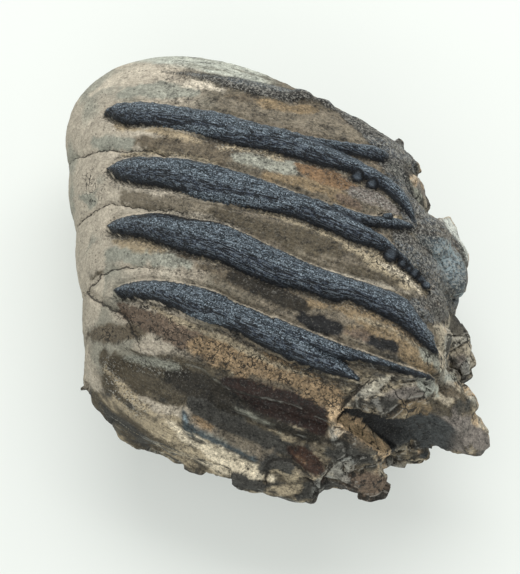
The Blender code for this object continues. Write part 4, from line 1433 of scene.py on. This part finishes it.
mottle = use(mottle_group, Place=place, Size=2.2)
wide_mottle = use(mottle_group, Place=place, Size=7.0)
fibres = use(fibre_group, Grain=grain_place, Length=9.0, Width=0.55)
wrinkles = use(fibre_group, Grain=grain_place, Length=7.0, Width=0.9)
fine_wrinkles = use(fibre_group, Grain=grain_place, Length=4.0, Width=0.42)
fine_pits = use(pit_group, Place=place, Spacing=1.3, Share=0.22)
wide_pits = use(pit_group, Place=place, Spacing=2.1, Share=0.5)
dark_grains = use(grain_group, Place=place, Size=0.62, Share=0.50)
pale_grains = use(grain_group, Place=tree.scaled(place, (1, 1, -1)), Size=0.75, Share=0.38)
enamel_grain = use(grain_group, Place=place, Size=0.45, Share=0.8)
pale_grain_and_glint_specks = use(grain_group, Place=lengthwise, Size=0.56, Share=0.56)
glint_specks = use(grain_group, Place=tree.scaled(place, (-1, 1, 1)), Size=0.52, Share=0.46)
pepper = use(grain_group, Place=tree.scaled(lengthwise, (1, -1, 1)), Size=0.66, Share=0.62)
coarse_salt = use(grain_group, Place=tree.scaled(place, (-1, -1, 1)), Size=0.95, Share=0.50)
coarse_pepper = use(grain_group, Place=tree.scaled(place, (-1, 1, -1)), Size=0.90, Share=0.52)
dark_patches = use(patch_group, Place=place, Size=3.4, Share=0.40)
pale_patches = use(patch_group, Place=tree.scaled(place, (1, -1, 1)), Size=2.8, Share=0.36)
stained = use(patch_group, Place=tree.scaled(grain_place, (0.5, 1, 1)), Size=3.2, Share=0.40)
cracks = use(crack_group, Place=grain_place, Spacing=6.5, Width=0.36)
fine_cracks = use(crack_group, Place=place, Spacing=1.7, Width=0.17)
print("nodes so far:", len(finish.node_tree.nodes))

# %% [markdown]
# Cementum is dull and freckled. Its painted stain is made lighter and darker by mottling,
# fibres and patches, and more so away from the crown. Then pits, dark grains and pale
# grains are laid over it, one mix after another.

# %% Cementum: tone, pits and grains
# Dark dirt for pits, grains and cracks, and also the painted shadow under each band's near edge.
DARK_DIRT_AND_SHADE = (0.022, 0.020, 0.017, 1)
# Pale grains, and also the painted highlight along the edges of the broken faces.
PALE_GRAIN_AND_HIGHLIGHT = (0.36, 0.35, 0.31, 1)

micro = tree.wobble(place, 1.15, 2.5, 0.85)
patch_share = tree.step(rough_ground, 0.0, 1.0, 0.12, 0.36)
tone = tree.plus(tree.times(mottle, 0.30), tree.times(fibres, 0.26), tree.times(wide_mottle, 0.14))
tone = tree.plus(tone, tree.times(micro, tree.step(rough_ground, 0.0, 1.0, 1.2, 2.8)))
tone = tree.minus(tone, tree.times(dark_patches, patch_share))
tone = tree.minus(tone, tree.times(stained, patch_share, 0.8))
tone = tree.plus(tone, tree.times(pale_patches, patch_share), 0.72)
cement = tree.vector_math("SCALE", {0: tree.kept("stain_and_shade", "Color"), 3: tree.larger(tone, 0.15)})

pit_mask = tree.larger(tree.times(wide_pits, pitted), tree.times(fine_pits, 0.75))
dark_share = tree.plus(tree.times(granular, 0.5), 0.14)
pale_share = tree.plus(tree.times(granular, 0.6), 0.12)
cement = tree.mix(cement, DARK_DIRT_AND_SHADE, pit_mask, 0.7)
cement = tree.mix(cement, DARK_DIRT_AND_SHADE, dark_grains, dark_share)
cement = tree.mix(cement, PALE_GRAIN_AND_HIGHLIGHT, pale_grains, pale_share)
print("nodes so far:", len(finish.node_tree.nodes))

# %% [markdown]
# Dentine is cracked, and each flat face of it has a dark gap round it, with a pale line
# along the gap that is a painted highlight on the face's edge. Creases and long cracks are
# drawn as thin, jagged dark lines, the creases wider in places. Next to the enamel the
# cementum shows a pale line at a band's far edge, and a dark one under its near edge that is
# a painted shadow.

# %% Cementum: cracks, creases and the edges of the enamel
CREAM_EDGE = (0.42, 0.37, 0.29, 1)

cracked_here = tree.times(dentine_mask, tree.step(wide_mottle, 0.45, 0.65))
crazed_here = tree.larger(pitted, tree.times(dentine_mask, 0.15))
crazed = tree.times(fine_cracks, crazed_here, tree.step(mottle, 0.4, 0.75, 0.0, 0.75))
crack_mask = tree.larger(tree.times(cracks, cracked_here, 0.8), crazed)
cement = tree.mix(cement, DARK_DIRT_AND_SHADE, crack_mask)
face_edge = tree.plus(tree.kept("facet_gap"), tree.times(fine_ragged, 0.12))
face_crack = tree.times(tree.step(face_edge, 0.075, 0.02), tree.step(mottle, 0.25, 0.55))
# A pale line beside each gap is a painted highlight on the face's edge.
face_edge_highlight = tree.step(tree.size_of(tree.minus(face_edge, 0.13)), 0.06, 0.01)
crack_mask = tree.larger(crack_mask, tree.times(face_crack, 0.9))
cement = tree.mix(cement, DARK_DIRT_AND_SHADE, crack_mask)
cement = tree.mix(cement, PALE_GRAIN_AND_HIGHLIGHT, face_edge_highlight, 0.45, tree.step(mottle, 0.4, 0.7))

jag = tree.times(tree.wobble(place, 1.3, 3.0, 0.7), 1.5)
crease_near = tree.size_of(tree.plus(tree.kept("crease"), jag))
crack_near = tree.size_of(tree.plus(tree.kept("crack_line"), jag))
crease_mask = tree.step(crease_near, tree.step(mottle, 0.35, 0.9, 0.22, 0.6), 0.08)
line_mask = tree.larger(crease_mask, tree.step(crack_near, 0.6, 0.15))
cement = tree.mix(cement, DARK_DIRT_AND_SHADE, line_mask, 0.85)

outside = tree.times(depth, -1.0)
rim = tree.times(tree.step(outside, 0.8, 0.2), tree.step(band_edge, 0.5, 0.9))
# Painted shadow under the near edge of each band.
under = tree.times(tree.step(outside, 1.1, 0.1), tree.step(band_edge, -0.1, -0.7))
beside = tree.times(tree.step(outside, 4.0, 0.5), tree.step(band_edge, 0.1, -0.6))
cement = tree.mix(cement, CREAM_EDGE, rim, tree.step(mottle, 0.2, 0.7, 0.1, 0.75))
cement = tree.mix(cement, DARK_DIRT_AND_SHADE, under, 0.8)
cement = tree.mix(cement, DARK_DIRT_AND_SHADE, beside, pepper, 0.75)
cement = tree.mix(cement, PALE_GRAIN_AND_HIGHLIGHT, beside, pale_grains, 0.22)
print("nodes so far:", len(finish.node_tree.nodes))

# %% [markdown]
# Enamel is the darkest and smoothest part: blue-black, wrinkled lengthwise, with a grain like
# orange peel. Its far side is painted steel grey, a painted sheen, and pale specks and
# streaks on it are painted glints. Its near edge and the rings round the beads are painted
# near black as shade, and the bead tops and the lump get a painted grey highlight. Where the
# plates run together it is coarser, and mixed with pale sediment.

# %% Enamel: bands, beads and the coarse patches
# Blue-black is the enamel's own colour. Steel grey is a painted sheen on a band's far side, and the pale
# and bright glint colours are painted highlights. Near black is the enamel's own dark grain, and also
# painted shade along the near edge and round the beads. The bead top and lump colours are painted
# highlights.
NAVY = (0.018, 0.026, 0.044, 1)
STEEL_SHEEN = (0.050, 0.068, 0.082, 1)
PALE_GLINT = (0.100, 0.128, 0.158, 1)
PEPPER_AND_SHADE = (0.004, 0.005, 0.007, 1)
GLINT = (0.36, 0.43, 0.49, 1)
BEAD_HIGHLIGHT = (0.13, 0.16, 0.19, 1)
KNOB_SHEEN = (0.30, 0.37, 0.39, 1)

across_band = tree.plus(band_edge, tree.times(tree.minus(wide_mottle, 0.5), 0.9))
gem = tree.mix(NAVY, STEEL_SHEEN, tree.step(across_band, -0.7, 0.3))
# Pale specks, more on the far side, and bright specks are painted glints.
gem = tree.mix(gem, PALE_GLINT, pale_grain_and_glint_specks, tree.step(across_band, -0.9, 0.3, 0.30, 0.85))
gem = tree.mix(gem, PEPPER_AND_SHADE, pepper, tree.step(across_band, -1.0, 0.4, 0.95, 0.85))
gem = tree.mix(gem, GLINT, glint_specks, tree.step(across_band, -0.9, 0.1, 0.34, 0.85))
wrinkled_here = tree.step(across_band, 0.4, -0.4, 0.30, 0.85)
streaked_here = tree.step(across_band, 0.3, -0.3, 0.32, 0.85)
gem = tree.mix(gem, PEPPER_AND_SHADE, tree.step(wrinkles, 0.42, 0.18), wrinkled_here)
gem = tree.mix(gem, PEPPER_AND_SHADE, tree.step(fine_wrinkles, 0.38, 0.20), streaked_here)
# Painted highlights along the fine wrinkles.
gem = tree.mix(gem, GLINT, tree.step(fine_wrinkles, 0.70, 0.84), 0.25)
# Painted shade: a band goes near black along its near edge.
near_edge_shade = tree.step(depth, tree.step(across_band, 0.5, -0.6, 0.8, 2.0), 0.1)
gem = tree.mix(gem, PEPPER_AND_SHADE, near_edge_shade, tree.step(across_band, 0.6, -0.3, 0.45, 0.95))
# A painted highlight on each bead's top, and painted shade in a ring round it.
gem = tree.mix(gem, BEAD_HIGHLIGHT, tree.step(bead, 0.5, 1.2), 0.32)
gem = tree.mix(gem, PEPPER_AND_SHADE, tree.step(tree.size_of(tree.plus(bead, 0.05)), 0.55, 0.15), 0.9)

# Painted grey sheen on the lump of enamel.
knob_sheen_share = tree.times(tree.kept("knob_sheen"), tree.step(mottle, 0.25, 0.6, 0.35, 1.0))
coarse_gem = tree.mix(gem, PALE_GRAIN_AND_HIGHLIGHT, pale_grain_and_glint_specks, 0.5)
coarse_gem = tree.mix(coarse_gem, KNOB_SHEEN, knob_sheen_share, 0.8)
coarse_gem = tree.mix(coarse_gem, PALE_GRAIN_AND_HIGHLIGHT, coarse_salt, 0.7)
coarse_gem = tree.mix(coarse_gem, PEPPER_AND_SHADE, coarse_pepper, 0.85)
colour = tree.mix(cement, coarse_gem, coarse, 0.85)
tree.give(shader.inputs["Base Color"], tree.mix(colour, gem, enamel))
print("nodes so far:", len(finish.node_tree.nodes))

# %% [markdown]
# Last in the material come the gloss and the relief that is too fine for the mesh. Cementum
# is dull, enamel has a satin sheen, and some smudges are polished. The fine relief goes
# through a Bump node, which only turns the light: real geometry at a tenth of a millimetre
# would take millions of triangles.

# %% Gloss and fine relief
# The fine relief is worked out as heights from 0 to 1. This is the depth of one, in metres.
BUMP_HEIGHT = 0.00034
BUMP_STRENGTH = 0.9
SHEEN = 0.27

hard = tree.larger(enamel, tree.times(coarse, 0.6))
rough = tree.minus(tree.step(mottle, 0.0, 1.0, 0.66, 0.86), tree.times(tree.kept("glossy"), 0.22))
satin = tree.step(enamel_grain, 0.0, 1.0, 0.30, 0.42)
rough = tree.plus(rough, tree.times(hard, tree.minus(satin, rough)))

fine_height = tree.plus(tree.times(fibres, 0.25), tree.times(tree.noise(place, 1.9, 4.0, 0.65), 0.55))
for mask, share in ((pit_mask, 0.9), (crack_mask, 1.0), (line_mask, 0.9), (dark_grains, dark_share)):
    fine_height = tree.minus(fine_height, tree.times(mask, share))
peel = tree.times(tree.noise(place, 1.6, 3.0, 0.8), 2.2)
enamel_height = tree.plus(tree.times(wrinkles, 0.8), tree.times(enamel_grain, 0.6), peel)
fine_height = tree.plus(fine_height, tree.times(hard, tree.minus(enamel_height, fine_height)))
bump_inputs = {"Height": fine_height, "Strength": BUMP_STRENGTH, "Distance": BUMP_HEIGHT}

tree.give(shader.inputs["Roughness"], rough)
tree.give(shader.inputs["Normal"], tree.add("ShaderNodeBump", bump_inputs).outputs["Normal"])
tree.give(shader.inputs["IOR"], 1.5)
tree.give(shader.inputs["Specular IOR Level"], SHEEN)
molar.data.materials.clear()
molar.data.materials.append(finish)
print("nodes in the finish:", len(finish.node_tree.nodes))

# %% [markdown]
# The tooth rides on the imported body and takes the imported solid's place. The picture needs
# a table and light: the photograph was taken on white paper under a wide, soft light that
# comes from the far side. A large panel behind, a weaker one in front and a dim white
# surround give that light, its sheen on the enamel and its faint shadow at the front left.
# The paper has a weak glow of its own, which keeps the shadow as faint as the photograph's.

# %% Put the tooth in the frame
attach(molar, "root")
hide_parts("molar")

# %% Table and light
TABLE_SIZE = 6.0
TABLE_COLOUR = (0.44, 0.455, 0.435, 1)
TABLE_GLOW = (0.93, 0.97, 0.925, 1)
TABLE_GLOW_STRENGTH = 0.37
# Where each panel of light stands, its width and height, and its power in watts.
PANELS = [
    ((0.12, 0.60, 0.80), (1.2, 0.6), 10.2),
    ((-0.15, -0.85, 0.60), (1.0, 0.6), 3.8),
]
PANEL_TARGET = Vector((0, 0, 0.04))
SURROUND = (0.95, 0.98, 0.96, 1)
SURROUND_STRENGTH = 0.60

bpy.ops.mesh.primitive_plane_add(size=TABLE_SIZE)
table = bpy.context.object
table.name = "paper_table"
paper = bpy.data.materials.new("white_paper")
paper.use_nodes = True
paper_shader = paper.node_tree.nodes["Principled BSDF"]
paper_shader.inputs["Base Color"].default_value = TABLE_COLOUR
paper_shader.inputs["Roughness"].default_value = 0.9
paper_shader.inputs["Emission Color"].default_value = TABLE_GLOW
paper_shader.inputs["Emission Strength"].default_value = TABLE_GLOW_STRENGTH
paper_shader.inputs["Specular IOR Level"].default_value = 0.2
table.data.materials.append(paper)

for panel_place, panel_size, panel_power in PANELS:
    panel_data = bpy.data.lights.new("soft_panel", "AREA")
    panel_data.shape = "RECTANGLE"
    panel_data.size, panel_data.size_y = panel_size
    panel_data.energy = panel_power
    panel = bpy.data.objects.new("soft_panel", panel_data)
    panel.location = panel_place
    panel.rotation_euler = (PANEL_TARGET - panel.location).to_track_quat("-Z", "Y").to_euler()
    bpy.context.scene.collection.objects.link(panel)

world = bpy.data.worlds.new("white_surround")
world.use_nodes = True
world.node_tree.nodes["Background"].inputs["Color"].default_value = SURROUND
world.node_tree.nodes["Background"].inputs["Strength"].default_value = SURROUND_STRENGTH
bpy.context.scene.world = world
bpy.context.scene.view_settings.view_transform = "Standard"
print("panels:", len(PANELS))
